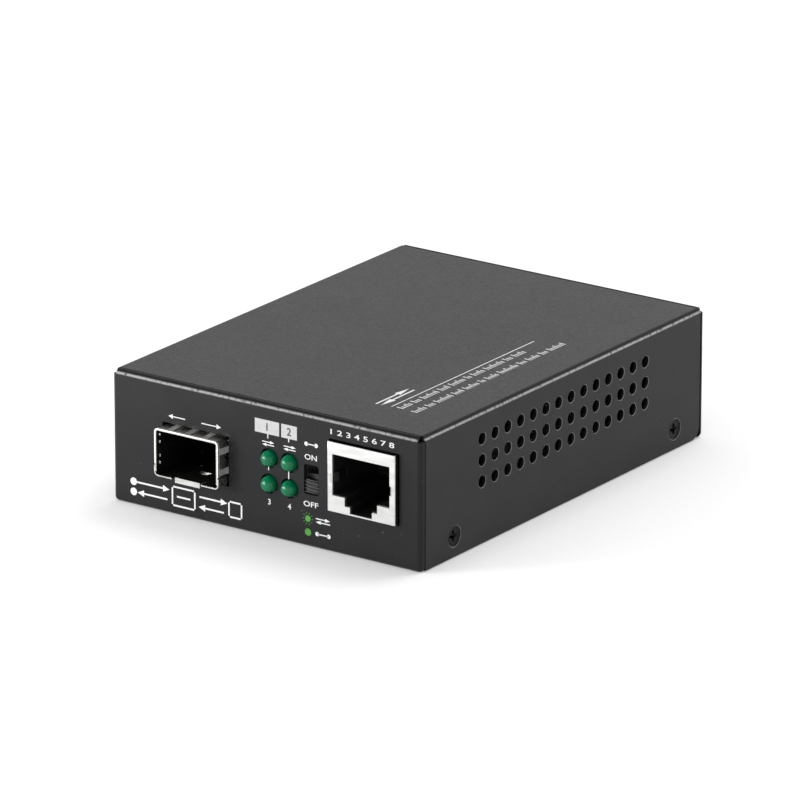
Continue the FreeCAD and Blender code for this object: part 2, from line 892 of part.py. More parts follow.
def rj45_shield():
    """Folded tin-plated shield: front plate, roof, sides, back and board tabs."""
    low = rj45_base()
    high = low + rj45_height
    half = rj45_width / 2
    near = rj45_front()
    far = near + rj45_depth
    roof = high - rj45_step
    wall = rj45_sheet
    body = box(rj45_x - half, rj45_x + half, near + wall / 2, far, low, roof)
    hollow = box(rj45_x - half + wall, rj45_x + half - wall, near, far - wall,
                 low - overlap, roof - wall)
    plate = box(rj45_x - half, rj45_x + half, near, near + wall, low, high)
    uprights = []
    for edge in plate.Edges:
        on_face = abs(edge.CenterOfMass.y - near) < 1e-6
        upright = abs(edge.tangentAt(edge.FirstParameter).z) > 0.9
        if on_face and upright:
            uprights.append(edge)
    plate = plate.makeFillet(rj45_edge, uprights)
    return_side = box(rj45_x + half - wall, rj45_x + half, near + wall / 2, near + 2 * wall, low, high)
    solids = [body.cut(hollow), plate, return_side]
    for y in (near + rj45_depth * 0.45, near + rj45_depth * 0.8):
        for x in (rj45_x - half, rj45_x + half - wall):
            solids.append(box(x, x + wall, y - rj45_tab / 2, y + rj45_tab / 2, board_top, low + wall))
    through = near + wall + overlap / 4
    cuts = [prism(plug_mouth(), "y", near - overlap, through)]
    middle = low + plug_base + plug_height * 0.42
    bottom = middle - spring_height / 2
    top = middle + spring_height / 2
    springs = []
    for turn in (-1, 1):
        edge = rj45_x + turn * plug_width / 2
        notch = edge + turn * spring_notch
        cuts.append(box(min(edge, notch), max(edge, notch), near - overlap, through, bottom, top))
        path = [
            (notch + turn * wall / 2, near), (edge + turn * spring_notch / 2, near + wall),
            (edge - turn * spring_bow, near + spring_length * 0.35),
            (edge + turn * spring_bow / 2, near + spring_length),
        ]
        if turn > 0:
            path = path[::-1]
        springs.append(strip(path, -wall * 0.7, "z", bottom, top))
    return joined([joined(solids).cut(cuts)] + springs)


def rj45_housing():
    """Moulded insert with the plug's cavity, a wire channel and two pegs."""
    wall = rj45_sheet
    low = rj45_base()
    near = rj45_front() + wall
    far = rj45_front() + rj45_depth - wall
    half = rj45_width / 2 - wall
    roof = low + rj45_height - rj45_step - wall
    body = box(rj45_x - half, rj45_x + half, near, far, low, roof)
    cavity = prism(plug_mouth(plug_slack), "y", near - overlap, near + plug_depth)
    room = plug_width / 2 - plug_slack
    middle = low + plug_base + plug_height * 0.42
    reliefs = []
    for turn in (-1, 1):
        edge = rj45_x + turn * room
        inner = edge - turn * overlap
        outer = edge + turn * (wall * 2)
        reliefs.append(box(min(inner, outer), max(inner, outer), near - overlap, near + spring_length + wall,
                           middle - spring_height / 2 - wall / 2, middle + spring_height / 2 + wall / 2))
    row = rj45_pins * rj45_pitch / 2
    ceiling = low + plug_base + plug_height - plug_slack
    channel_top = ceiling + 2 * rj45_wire
    back = far - wire_channel
    top_channel = box(rj45_x - row, rj45_x + row, near + wire_channel, back, ceiling - overlap, channel_top)
    drop = box(rj45_x - row, rj45_x + row, back - 3 * rj45_wire, back, low - overlap, channel_top)
    pegs = []
    for turn in (-1, 1):
        x = rj45_x + turn * half * 0.7
        start = V(x, near + rj45_depth * 0.3, board_top)
        pegs.append(rod(rj45_peg, peg_flat_count, start, V(0, 0, 1), rj45_lift + wall))
    return joined([body.cut([cavity, top_channel, drop] + reliefs)] + pegs)


def rj45_contacts():
    """Eight wires along the roof of the cavity, sprung down into the plug's way."""
    near = rj45_front() + rj45_sheet
    ceiling = rj45_base() + plug_base + plug_height - plug_slack
    back = rj45_front() + rj45_depth - rj45_sheet - wire_channel - rj45_wire
    path = [
        (near + plug_depth * 0.85, ceiling - plug_height * 0.35),
        (near + plug_depth * 0.2, ceiling + rj45_wire * 0.6),
        (back, ceiling + rj45_wire * 0.6), (back, board_top),
    ]
    wires = []
    for count in range(rj45_pins):
        x = rj45_x + (count - (rj45_pins - 1) / 2) * rj45_pitch
        wires.append(strip(path, -rj45_wire, "x", x - rj45_wire / 2, x + rj45_wire / 2))
    return wires


# --- lamps ----------------------------------------------------------------------------
def led_back():
    """Rear face of the lamps' flanges."""
    return front - led_proud + led_body_length + led_flange_length


def led_lamp(x, z):
    """Diffused lamp: dome, body and flange on one axis; distances run to the front."""
    radius = led_diameter / 2
    flange = led_flange / 2
    back = -led_body_length - led_flange_length
    profile = [(flange, back), (flange, -led_body_length), (radius, -led_body_length)]
    for band in range(led_band_count + 1):
        angle = math.pi / 2 * band / (led_band_count + 0.5)
        profile.append((radius * math.cos(angle), radius * math.sin(angle)))
    return turned(profile, led_flat_count, V(x, front - led_proud, z), V(0, -1, 0))


def led_holder():
    """Moulded block that carries the lamps at the height of the panel's holes."""
    places = list(led_places().values())
    xs = [x for x, z in places]
    zs = [z for x, z in places]
    reach = led_flange / 2 + holder_wall
    near = front + sheet + holder_gap
    far = led_back() - led_flange_length - holder_slack
    body = box(min(xs) - reach, max(xs) + reach, near, far, board_top, max(zs) + reach)
    cuts = []
    for x, z in places:
        start = V(x, far + overlap, z)
        depth = far - near + 2 * overlap
        cuts.append(rod(led_diameter + 2 * holder_slack, led_flat_count, start, V(0, -1, 0), depth))
    return body.cut(cuts)


def led_leads():
    """Two square wires to each lamp, bent down to the board behind the holder."""
    leads = []
    half = lead / 2
    for name, (x, z) in led_places().items():
        back = led_back() + (lead_bend_high if "upper" in name else lead_bend_low)
        path = [(led_back(), z - half), (back, z - half), (back, board_top)]
        for turn in (-1, 1):
            middle = x + turn * lead_pitch / 2
            leads.append(strip(path, lead, "x", middle - half, middle + half))
    return leads


# --- slide switch ---------------------------------------------------------------------
def switch_front():
    return front + sheet + switch_gap


def switch_bottom():
    return switch_middle() - switch_case_height / 2


def switch_case():
    """Folded steel can, open at the back, with a window for the knob."""
    half = switch_width / 2
    near = switch_front()
    far = near + switch_depth
    low = switch_bottom()
    high = low + switch_case_height
    can = box(switch_x - half, switch_x + half, near, far, low, high)
    wall = switch_sheet
    hollow = box(switch_x - half + wall, switch_x + half - wall, near + wall, far + overlap,
                 low + wall, high - wall)
    window = prism(rectangle(
        switch_x - slot_width / 2, switch_x + slot_width / 2,
        switch_middle() - slot_height / 2, switch_middle() + slot_height / 2), "y",
        near - overlap, near + wall + overlap / 4)
    return can.cut([hollow, window])


def switch_base_front():
    return switch_front() + switch_depth - switch_base_depth


def switch_base():
    """Moulded base that closes the can's back and carries the terminals."""
    half = switch_width / 2 - switch_sheet
    near = switch_base_front()
    far = switch_front() + switch_depth
    low = switch_bottom() + switch_sheet
    high = low + switch_case_height - 2 * switch_sheet
    body = box(switch_x - half, switch_x + half, near, far, low, high)
    cuts = []
    for z in terminal_levels():
        size = lead / 2 + screw_slack
        cuts.append(box(switch_x - size, switch_x + size, near - overlap, far + overlap, z - size, z + size))
    return body.cut(cuts)


def terminal_levels():
    pitch = slot_height / switch_pins
    return [switch_middle() + (count - (switch_pins - 1) / 2) * pitch for count in range(switch_pins)]


def switch_terminals():
    terminals = []
    half = lead / 2
    far = switch_front() + switch_depth
    for count, z in enumerate(terminal_levels()):
        back = far + terminal_reach + count * terminal_step
        path = [(switch_base_front() + lead / 4, z - half), (back, z - half), (back, board_top)]
        terminals.append(strip(path, lead, "x", switch_x - half, switch_x + half))
    return terminals


def switch_knob():
    """Sliding knob: ribbed thumb face, stem and the slider inside the can."""
    half = knob_width / 2
    near = front + knob_setback
    low = knob_bottom()
    high = low + knob_height
    land = knob_height / (2 * knob_ribs)
    corners = [(switch_front() + switch_sheet + slider_slack, low, 0)]
    corners.append((near + knob_rib_depth, low, 0))
    for rib in range(knob_ribs):
        base = low + land * (2 * rib + 0.5)
        corners.append((near + knob_rib_depth, base, 0))
        corners.append((near, base + land * 0.2, 0))
        corners.append((near, base + land * 0.8, 0))
        corners.append((near + knob_rib_depth, base + land, 0))
    corners.append((near + knob_rib_depth, high, 0))
    corners.append((switch_front() + switch_sheet + slider_slack, high, 0))
    stem = prism(corners, "x", switch_x - half, switch_x + half)
    inner = switch_width / 2 - switch_sheet - slider_slack
    start = switch_front() + switch_sheet + slider_slack
    middle = low + knob_height / 2
    room = (switch_case_height - 2 * switch_sheet - knob_travel()) / 2 - slider_slack
    reach = min(slider_height / 2, room)
    slider = box(switch_x - inner, switch_x + inner, start, start + slider_thickness,
                 middle - reach, middle + reach)
    return joined([stem, slider])


# --- power jack -----------------------------------------------------------------------
def jack_face():
    return rear - jack_setback


def jack_centre():
    return board_top + jack_axis


def dc_jack_housing():
    """Moulded jack: square collar in the panel, narrower barrel and a blind bore."""
    face = jack_face()
    collar = prism(jack_outline(), "y", face - jack_collar, face)
    half = jack_width / 2 - jack_body_relief
    barrel = prism([
        (jack_x - half, board_top, 0), (jack_x + half, board_top, 0),
        (jack_x + half, board_top + jack_height - jack_body_relief, jack_corner * 1.5),
        (jack_x - half, board_top + jack_height - jack_body_relief, jack_corner * 1.5),
    ], "y", face - jack_depth, face - jack_collar)
    body = joined([collar, barrel])
    z = jack_centre()
    start = V(jack_x, face, z)
    radius = jack_bore / 2
    profile = [
        (radius + 2 * jack_chamfer, -jack_chamfer), (radius, jack_chamfer), (radius, jack_bore_depth),
    ]
    bore = turned(profile, jack_flat_count, start, V(0, -1, 0))
    shank = rod(jack_pin + 2 * screw_slack, jack_pin_flat_count, start, V(0, -1, 0), jack_depth + overlap)
    return body.cut([bore, shank, jack_spring_room()])


def jack_spring_room():
    """Groove in the bore's floor and the barrel's end for the sleeve contact."""
    face = jack_face()
    low = jack_centre() - jack_bore / 2
    half = lead * 1.6
    return box(jack_x - half, jack_x + half, face - jack_depth - overlap, face - jack_collar,
               low - 4 * blade, low + overlap)


def dc_jack_pin():
    """Centre pin with a rounded tip and a flat tail bent down to the board."""
    radius = jack_pin / 2
    tip = jack_face() - jack_pin_short
    tail = jack_face() - jack_depth
    profile = [(radius * 0.6, 0), (radius, radius * 0.6), (radius, tip - tail + lead)]
    pin = turned(profile, jack_pin_flat_count, V(jack_x, tip, jack_centre()), V(0, -1, 0))
    leg = box(jack_x - radius, jack_x + radius, tail - 2 * lead, tail - lead / 2,
              board_top + jack_axis / 2, jack_centre() + radius)
    return joined([pin, leg])


def dc_jack_spring():
    """Sleeve contact: a bowed leaf under the pin that runs out of the barrel's end."""
    face = jack_face()
    low = jack_centre() - jack_bore / 2
    tail = face - jack_depth - 4 * lead
    path = [
        (tail, board_top), (tail, low - 2.4 * blade), (face - jack_bore_depth, low - 2.4 * blade),
        (face - jack_bore_depth * 0.6, low + 2 * blade), (face - jack_collar - 2 * blade, low - blade),
    ]
    half = lead * 1.4
    return strip(path, -blade, "x", jack_x - half, jack_x + half)


# --- parts on the board ---------------------------------------------------------------
def on_board(width, depth, height, x, y, chamfer=0.0):
    """Moulded package on the board with an optional chamfer round its top."""
    low = board_top
    body = box(x - width / 2, x + width / 2, y - depth / 2, y + depth / 2, low, low + height)
    if chamfer:
        top = [edge for edge in body.Edges if edge.BoundBox.ZMin > low + height - 1e-6]
        body = body.makeChamfer(chamfer, top)
    return body


def converter_place():
    return converter_x, front + converter_from_front


def converter_chip():
    x, y = converter_place()
    body = on_board(converter_size, converter_size, converter_height, x, y, converter_chamfer)
    mark = converter_size / 2 - converter_dot_inset
    level = board_top + converter_height - converter_chamfer
    dot = rod(converter_dot, peg_flat_count, V(x - mark, y - mark, level), V(0, 0, 1), overlap)
    return body.cut(dot)


def transformer_place():
    return rj45_x, rj45_front() + rj45_depth + transformer_gap + transformer_depth / 2


def line_transformer():
    x, y = transformer_place()
    return on_board(transformer_width, transformer_depth, transformer_height, x, y, transformer_chamfer)


def gull_leads(x, y, depth, pins, pitch, level):
    """Bent leads from the front and rear sides of a package down to the board."""
    leads = []
    for turn in (-1, 1):
        edge = y + turn * depth / 2
        path = [
            (edge, board_top + level), (edge + turn * gull_knee, board_top),
            (edge + turn * gull_toe, board_top),
        ]
        for count in range(pins):
            middle = x + (count - (pins - 1) / 2) * pitch
            leads.append(strip(path, gull_sheet * turn, "x",
                               middle - gull_width / 2, middle + gull_width / 2))
    return leads


def transformer_leads():
    x, y = transformer_place()
    return gull_leads(x, y, transformer_depth, transformer_pins, transformer_pin_pitch,
                      transformer_lead_level)


def soic_places():
    return {
        "memory": (memory_x, rear - memory_from_rear),
        "power": (power_x, rear - power_from_rear),
    }


def soic(name):
    x, y = soic_places()[name]
    return on_board(soic_length, soic_width, soic_height, x, y, soic_chamfer)


def chip_leads():
    leads = []
    for x, y in soic_places().values():
        leads += gull_leads(x, y, soic_width, soic_pins, soic_pitch, soic_lead_level)
    return leads


def crystal():
    """Oval metal can on a flat flange."""
    x = crystal_x
    y = front + crystal_from_front
    half = crystal_length / 2 - crystal_flange
    wide = crystal_width / 2 - crystal_flange
    oval = rectangle(x - half, x + half, y - wide, y + wide, wide * 0.99)
    can = prism(oval, "z", board_top, board_top + crystal_height)
    foot = box(x - crystal_length / 2, x + crystal_length / 2, y - crystal_width / 2,
               y + crystal_width / 2, board_top, board_top + crystal_foot)
    return joined([can, foot])


def capacitor_places():
    y = rear - capacitor_from_rear
    return [(capacitor_x + count * capacitor_pitch, y) for count in range(capacitor_count)]


def filter_capacitors():
    """Aluminium cans with a rolled groove above the base."""
    radius = capacitor_diameter / 2
    top = capacitor_height
    step = capacitor_groove
    groove = capacitor_base + capacitor_groove_level
    profile = [
        (radius, capacitor_base), (radius, groove - step), (radius - step, groove),
        (radius, groove + step), (radius, top - step), (radius - step, top),
    ]
    cans = []
    for x, y in capacitor_places():
        cans.append(turned(profile, capacitor_flat_count, V(x, y, board_top), V(0, 0, 1)))
    return cans


def capacitor_bases():
    """Square plastic seats with two cut corners."""
    half = capacitor_diameter / 2 + capacitor_skirt
    cut = capacitor_cut
    bases = []
    for x, y in capacitor_places():
        corners = [
            (x - half, y - half, 0), (x + half, y - half, 0), (x + half, y + half - cut, 0),
            (x + half - cut, y + half, 0), (x - half + cut, y + half, 0), (x - half, y + half - cut, 0),
        ]
        bases.append(prism(corners, "z", board_top, board_top + capacitor_base))
    return bases


def power_inductor():
    """Square ferrite with a groove round its core."""
    y = rear - inductor_from_rear
    half = inductor_size / 2
    corners = rectangle(inductor_x - half, inductor_x + half, y - half, y + half, inductor_corner)
    body = prism(corners, "z", board_top, board_top + inductor_height)
    start = V(inductor_x, y, board_top + inductor_height - inductor_groove)
    ring = rod(inductor_ring, inductor_flat_count, start, V(0, 0, 1), overlap)
    core = rod(inductor_core, inductor_flat_count, start, V(0, 0, 1), overlap)
    return body.cut(ring.cut(core))


def protection_diode():
    return on_board(diode_width, diode_length, diode_height, diode_x, rear - diode_from_rear,
                    diode_chamfer)


def chip_grid(x, y, columns, rows):
    chips = []
    for row in range(rows):
        for column in range(columns):
            chips.append(on_board(chip_width, chip_length, chip_height,
                                  x + column * chip_pitch, y + row * chip_row_pitch))
    return chips


def chip_resistors():
    return chip_grid(resistor_x, front + resistor_from_front, resistor_columns, resistor_rows)


def chip_capacitors():
    return chip_grid(small_capacitor_x, rear - small_capacitor_from_rear,
                     small_capacitor_columns, small_capacitor_rows)


# --- the assembly ---------------------------------------------------------------------
def assembly():
    parts = {
        "base_tray": [base_tray()],
        "top_cover": [top_cover()],
        "cover_screws": cover_screws(),
        "board_standoffs": board_standoffs(),
        "circuit_board": [circuit_board()],
        "board_screws": board_screws(),
        "sfp_cage_shell": [sfp_cage_shell()],
        "sfp_cage_base": [sfp_cage_base()],
        "sfp_emi_fingers": [sfp_emi_fingers()],
        "sfp_connector_housing": [sfp_connector_housing()],
        "sfp_connector_contacts": sfp_connector_contacts(),
        "rj45_shield": [rj45_shield()],
        "rj45_housing": [rj45_housing()],
        "rj45_contacts": rj45_contacts(),
        "led_holder": [led_holder()],
        "led_leads": led_leads(),
        "switch_case": [switch_case()],
        "switch_base": [switch_base()],
        "switch_terminals": switch_terminals(),
        "switch_knob": [switch_knob()],
        "dc_jack_housing": [dc_jack_housing()],
        "dc_jack_pin": [dc_jack_pin()],
        "dc_jack_spring": [dc_jack_spring()],
        "converter_chip": [converter_chip()],
        "memory_chip": [soic("memory")],
        "power_chip": [soic("power")],
        "chip_leads": chip_leads(),
        "crystal": [crystal()],
        "line_transformer": [line_transformer()],
        "transformer_leads": transformer_leads(),
        "filter_capacitors": filter_capacitors(),
        "capacitor_bases": capacitor_bases(),
        "power_inductor": [power_inductor()],
        "protection_diode": [protection_diode()],
        "chip_resistors": chip_resistors(),
        "chip_capacitors": chip_capacitors(),
    }
    for name, (x, z) in led_places().items():
        parts[name] = [led_lamp(x, z)]
    return parts


os.makedirs("parts", exist_ok=True)
for node, solids in assembly().items():
    shape = solids[0] if len(solids) == 1 else Part.makeCompound(solids)
    shape.exportStep(f"parts/{node}.step")
    print(node, len(solids), "solids", round(shape.Volume, 2), "mm3")
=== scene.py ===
# %% [markdown]
# # A fibre media converter
#
# The real object is a small black steel case, folded from two sheets, that joins a fibre
# link to a copper one. Its front carries a plated cage for the fibre module, four green
# lamps, a slide switch and a shielded jack. The solids come from the CAD model. Here they
# get their finishes, and the few pieces whose look depends on soft edges, smooth domes or
# ink are modelled.
#
# First the imported model is loaded.

import itertools
import json
import math

import bpy
from mathutils import Matrix, Vector

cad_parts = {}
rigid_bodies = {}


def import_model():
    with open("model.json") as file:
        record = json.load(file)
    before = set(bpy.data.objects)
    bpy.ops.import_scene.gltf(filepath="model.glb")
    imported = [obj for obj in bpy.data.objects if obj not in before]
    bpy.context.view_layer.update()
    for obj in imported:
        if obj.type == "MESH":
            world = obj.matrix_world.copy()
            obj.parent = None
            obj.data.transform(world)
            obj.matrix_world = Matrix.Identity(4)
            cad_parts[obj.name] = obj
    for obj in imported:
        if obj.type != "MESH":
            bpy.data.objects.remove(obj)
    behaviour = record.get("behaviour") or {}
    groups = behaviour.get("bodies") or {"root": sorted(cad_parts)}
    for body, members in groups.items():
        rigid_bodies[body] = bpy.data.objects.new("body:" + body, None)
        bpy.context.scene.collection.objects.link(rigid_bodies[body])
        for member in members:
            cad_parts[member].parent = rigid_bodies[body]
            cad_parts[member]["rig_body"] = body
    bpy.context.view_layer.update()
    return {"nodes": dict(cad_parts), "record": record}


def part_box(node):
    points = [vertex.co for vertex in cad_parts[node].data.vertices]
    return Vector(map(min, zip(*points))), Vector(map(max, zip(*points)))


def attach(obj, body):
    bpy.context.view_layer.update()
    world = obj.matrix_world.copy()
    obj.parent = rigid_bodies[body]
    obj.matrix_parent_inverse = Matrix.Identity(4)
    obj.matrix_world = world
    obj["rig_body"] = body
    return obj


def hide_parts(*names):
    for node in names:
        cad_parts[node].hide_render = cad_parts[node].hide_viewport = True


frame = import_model()
nodes = frame["nodes"]
bpy.ops.object.select_all(action="DESELECT")
print("nodes in the frame:", len(nodes))

# %% [markdown]
# ## Places
#
# The main places are worked out from the solids' own boxes, so that lamps and ink stay on
# the case if it changes a little. Lengths are metres, so `MM` keeps the numbers readable.

# %% Places taken from the solids
MM = 0.001
tray_low, tray_high = (Vector(corner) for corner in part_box("base_tray"))
switch_low, switch_high = (Vector(corner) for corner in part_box("switch_knob"))
jack_low, jack_high = (Vector(corner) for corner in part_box("rj45_shield"))
cage_low, cage_high = (Vector(corner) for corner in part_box("sfp_cage_shell"))

FRONT = tray_low.y
TOP = tray_high.z
SWITCH_X = (switch_low.x + switch_high.x) / 2
JACK_X = (jack_low.x + jack_high.x) / 2
CAGE_X = (cage_low.x + cage_high.x) / 2
LAMPS = ["led_upper_left", "led_upper_right", "led_lower_left", "led_lower_right"]


def middle(node):
    low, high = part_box(node)
    return (Vector(low) + Vector(high)) / 2


print("front face at", round(FRONT, 4), "top at", round(TOP, 4))

# %% [markdown]
# ## Helpers for materials
#
# A colour is easiest to judge as the hex value of a paint chart, but a shader works on
# linear light, so one function turns the one into the other. A second one adds a node,
# sets it up and links it, so that each material below reads from its pattern to its
# surface. Patterns take Object coordinates, which are metres here: a noise of scale
# 1 / size then has blotches of about that size.


# %% Colour and nodes
def colour(hex_value):
    """sRGB hex such as 2b2c2e to linear RGBA."""
    channels = [int(hex_value[i:i + 2], 16) / 255 for i in (0, 2, 4)]
    linear = [c / 12.92 if c <= 0.04045 else ((c + 0.055) / 1.055) ** 2.4 for c in channels]
    return (*linear, 1.0)


def add(material, kind, settings=None, **sockets):
    """Adds a node. A socket, named or numbered, takes a value, a node or a node's output."""
    tree = material.node_tree
    node = tree.nodes.new(kind)
    for name, value in (settings or {}).items():
        setattr(node, name, value)
    for name, value in sockets.items():
        key = int(name[1:]) if name[1:].isdigit() else name.replace("_", " ")
        socket = node.inputs[key]
        if isinstance(value, bpy.types.Node):
            value = value.outputs[0]
        if isinstance(value, bpy.types.NodeSocket):
            tree.links.new(value, socket)
        else:
            socket.default_value = value
    return node


def new_material(name):
    material = bpy.data.materials.new(name)
    material.use_nodes = True
    material.node_tree.nodes.clear()
    return material


print("mid grey 808080 is", round(colour("808080")[0], 3), "in linear light")

# %% [markdown]
# ## The case's paint
#
# The case is mild steel with a black polyester powder coat. The powder melts into a film
# with a fine pebbled skin, an "orange peel" with grains of about a third of a millimetre,
# so light breaks up on it and long highlights look sandy. A few pale specks of dust sit in
# the film. A pale, broken line along the curve of each fold is a painted highlight. The coat
# is a dielectric over metal, so it isn't metallic at all. Its pebbles shade each other, and it
# mirrors less than a smooth resin would, so its index is 1.25 rather than 1.5.


# %% Powder coat
FOLD = 1.0 * MM              # outer radius of the case's folds
# The worn line set out here is a painted highlight: a pale line along the curve of each fold.
HIGHLIGHT_LEVEL = 0.62 * FOLD     # middle of the worn line, below the top face
HIGHLIGHT_CORE = 0.1 * FOLD       # from there to where the wear begins to fade
HIGHLIGHT_REACH = 0.3 * FOLD      # and to where it ends
HIGHLIGHT_DEPTH = 0.4 * FOLD      # only this close to the upright face


def powder_coated_steel(name, across, reach, deep="1d1d1f", pale="222223"):
    """Black coat on a sheet whose top fold lies at the distance reach on the axis across."""
    coat = new_material(name)
    position = add(coat, "ShaderNodeTexCoord").outputs["Object"]
    # Tone wanders by a few parts in a hundred over a centimetre, as a sprayed film does.
    clouds = add(coat, "ShaderNodeTexNoise", Vector=position, Scale=1 / (9 * MM))
    uneven = add(coat, "ShaderNodeMapRange", Value=clouds, From_Min=0.3, From_Max=0.7)
    film = add(coat, "ShaderNodeMix", {"data_type": "RGBA"}, _0=uneven,
               _6=colour(deep), _7=colour(pale)).outputs[2]
    dust = add(coat, "ShaderNodeTexNoise", Vector=position, Scale=1 / (0.6 * MM), Detail=1.0)
    specks = add(coat, "ShaderNodeMapRange", Value=dust, From_Min=0.8, From_Max=0.825)
    dusted = add(coat, "ShaderNodeMix", {"data_type": "RGBA"}, _0=specks, _6=film,
                 _7=colour("4c4c4d")).outputs[2]
    # A painted highlight: a pale line along the fold, where it turns down into the upright sheet,
    # broken up by noise.
    axes = add(coat, "ShaderNodeSeparateXYZ", Vector=position)
    below = add(coat, "ShaderNodeMath", {"operation": "SUBTRACT"}, _0=TOP, _1=axes.outputs["Z"])
    off_line = add(coat, "ShaderNodeMath", {"operation": "SUBTRACT"}, _0=below, _1=HIGHLIGHT_LEVEL)
    off_line = add(coat, "ShaderNodeMath", {"operation": "ABSOLUTE"}, _0=off_line)
    line = add(coat, "ShaderNodeMapRange", Value=off_line, From_Min=HIGHLIGHT_CORE,
               From_Max=HIGHLIGHT_REACH, To_Min=1.0, To_Max=0.0)
    outward = add(coat, "ShaderNodeMath", {"operation": "ABSOLUTE"}, _0=axes.outputs[across])
    depth = add(coat, "ShaderNodeMath", {"operation": "SUBTRACT"}, _0=reach, _1=outward)
    on_fold = add(coat, "ShaderNodeMath", {"operation": "LESS_THAN"}, _0=depth, _1=HIGHLIGHT_DEPTH)
    highlight_breakup = add(coat, "ShaderNodeTexNoise", Vector=position, Scale=1 / (0.7 * MM), Detail=3.0)
    broken_highlight = add(coat, "ShaderNodeMapRange", Value=highlight_breakup, From_Min=0.27, From_Max=0.5)
    painted_highlight = add(coat, "ShaderNodeMath", {"operation": "MULTIPLY"}, _0=line, _1=broken_highlight)
    painted_highlight = add(coat, "ShaderNodeMath", {"operation": "MULTIPLY"}, _0=painted_highlight, _1=on_fold)
    painted = add(coat, "ShaderNodeMix", {"data_type": "RGBA"}, _0=painted_highlight, _6=dusted,
                  _7=colour("8a8a8b")).outputs[2]
    pebbles = add(coat, "ShaderNodeTexNoise", Vector=position, Scale=1 / (0.38 * MM), Detail=3.0)
    gloss = add(coat, "ShaderNodeMapRange", Value=pebbles, From_Min=0.3, From_Max=0.7,
                To_Min=0.31, To_Max=0.42)
    skin = add(coat, "ShaderNodeBump", Height=pebbles, Distance=0.05 * MM, Strength=0.4)
    shader = add(coat, "ShaderNodeBsdfPrincipled", Base_Color=painted, Roughness=gloss, IOR=1.25,
                 Normal=skin)
    add(coat, "ShaderNodeOutputMaterial", Surface=shader)
    return coat


tray_finish = powder_coated_steel("powder_coated_tray", "Y", -FRONT)
cover_finish = powder_coated_steel("powder_coated_cover", "X", tray_high.x)
# A pale copy of the coat: a painted highlight for the rims of the vents and dimples.
rim_highlight_finish = powder_coated_steel("painted_highlight_on_rims", "X", tray_high.x,
                                 deep="8c8c8e", pale="9a9a9c")
print("coated:", tray_finish.name, cover_finish.name, rim_highlight_finish.name)

# %% [markdown]
# ## Plated and bare metals
#
# The cage is nickel-plated steel strip, the jack's shield is bright tin, and the screws
# are blackened zinc. They differ in warmth and in how blurred their reflections are: tin
# is the whitest, and drawn strip keeps faint lines from the rolls. A metal's colour is its
# reflection, so its base colour is pale and it stays fully metallic.


# %% Metals
def metal(name, tone, darker, roughness, spread, size_mm, bump=0.15, lines=1.0):
    """A metal whose faint grain is stretched along X by the factor lines."""
    plate = new_material(name)
    position = add(plate, "ShaderNodeTexCoord").outputs["Object"]
    drawn = add(plate, "ShaderNodeMapping", Vector=position, Scale=(1.0 / lines, 1.0, 1.0))
    pattern = add(plate, "ShaderNodeTexNoise", Vector=drawn, Scale=1 / (size_mm * MM), Detail=3.0)
    cloud = add(plate, "ShaderNodeMapRange", Value=pattern, From_Min=0.35, From_Max=0.6)
    tint = add(plate, "ShaderNodeMix", {"data_type": "RGBA"}, _0=cloud, _6=colour(darker),
               _7=colour(tone)).outputs[2]
    blur = add(plate, "ShaderNodeMapRange", Value=pattern, From_Min=0.3, From_Max=0.7,
               To_Min=roughness, To_Max=roughness + spread)
    relief = add(plate, "ShaderNodeBump", Height=pattern, Distance=0.01 * MM, Strength=bump)
    shader = add(plate, "ShaderNodeBsdfPrincipled", Base_Color=tint, Metallic=1.0, Roughness=blur,
                 Normal=relief)
    add(plate, "ShaderNodeOutputMaterial", Surface=shader)
    return plate


metals = {
    # Zinc flake with a black topcoat: nearly as dark as the case, and it glints on its edges.
    "black_steel": metal("black_zinc_screw", "1f1f21", "121213", 0.26, 0.1, 0.4),
    # Bright zinc on the internal fixings, with its faint blue.
    "zinc_steel": metal("bright_zinc", "c9cbcd", "b4b6b8", 0.3, 0.1, 0.5),
    # Nickel over cold-rolled strip: slightly warm, with the lines of the rolls.
    "nickel_steel": metal("nickel_plated_strip", "d2d1ce", "c2c1be", 0.24, 0.08, 0.6, 0.08, 6.0),
    # Phosphor bronze springs under the same nickel, a little duller after forming.
    "spring_bronze": metal("plated_spring_bronze", "e6e4e0", "d8d6d2", 0.5, 0.08, 0.5, 0.05),
    # Tin dipped over brass: nearly white, with a soft bloom.
    "tinned_steel": metal("bright_tin", "d4d4d2", "cbcbc9", 0.3, 0.06, 0.9, 0.04, 4.0),
    # Tinned copper wire on the leads: white and a little streaky where the solder wets it.
    "tinned_wire": metal("tinned_wire", "d8d9da", "c3c4c5", 0.3, 0.1, 0.3),
    # Gold over nickel on the contacts: a warm glint inside the dark mouths.
    "gold_contacts": metal("gold_plated_contact", "e3b55a", "c99a45", 0.22, 0.08, 0.3),
    # Drawn aluminium cans of the capacitors: the brightest pieces on the board.
    "capacitor_can": metal("drawn_aluminium", "dcdddf", "c7c8ca", 0.28, 0.1, 0.7),
}
# A dark, dull steel for the faces inside the cage and behind the jack's plate: painted shade for
# the dark tunnels there.
shade_painted_nickel = metal("painted_shade_inside", "3a3937", "2b2a29", 0.5, 0.1, 0.6)
print("metals:", len(metals) + 1)

# %% [markdown]
# ## Plastics, resin and laminate
#
# The jack's insert, the knob and the lamps' holder are black nylon and PBT, moulded with a
# spark-eroded texture: dark, softly satin and slightly uneven. The lamps are epoxy with a
# green dye and a diffusing powder, which lets light in and scatters it, so they look deep
# and even while a small highlight sits on the dome. The board is woven glass in epoxy
# under a green mask. The legends' ink is matt and not quite white.


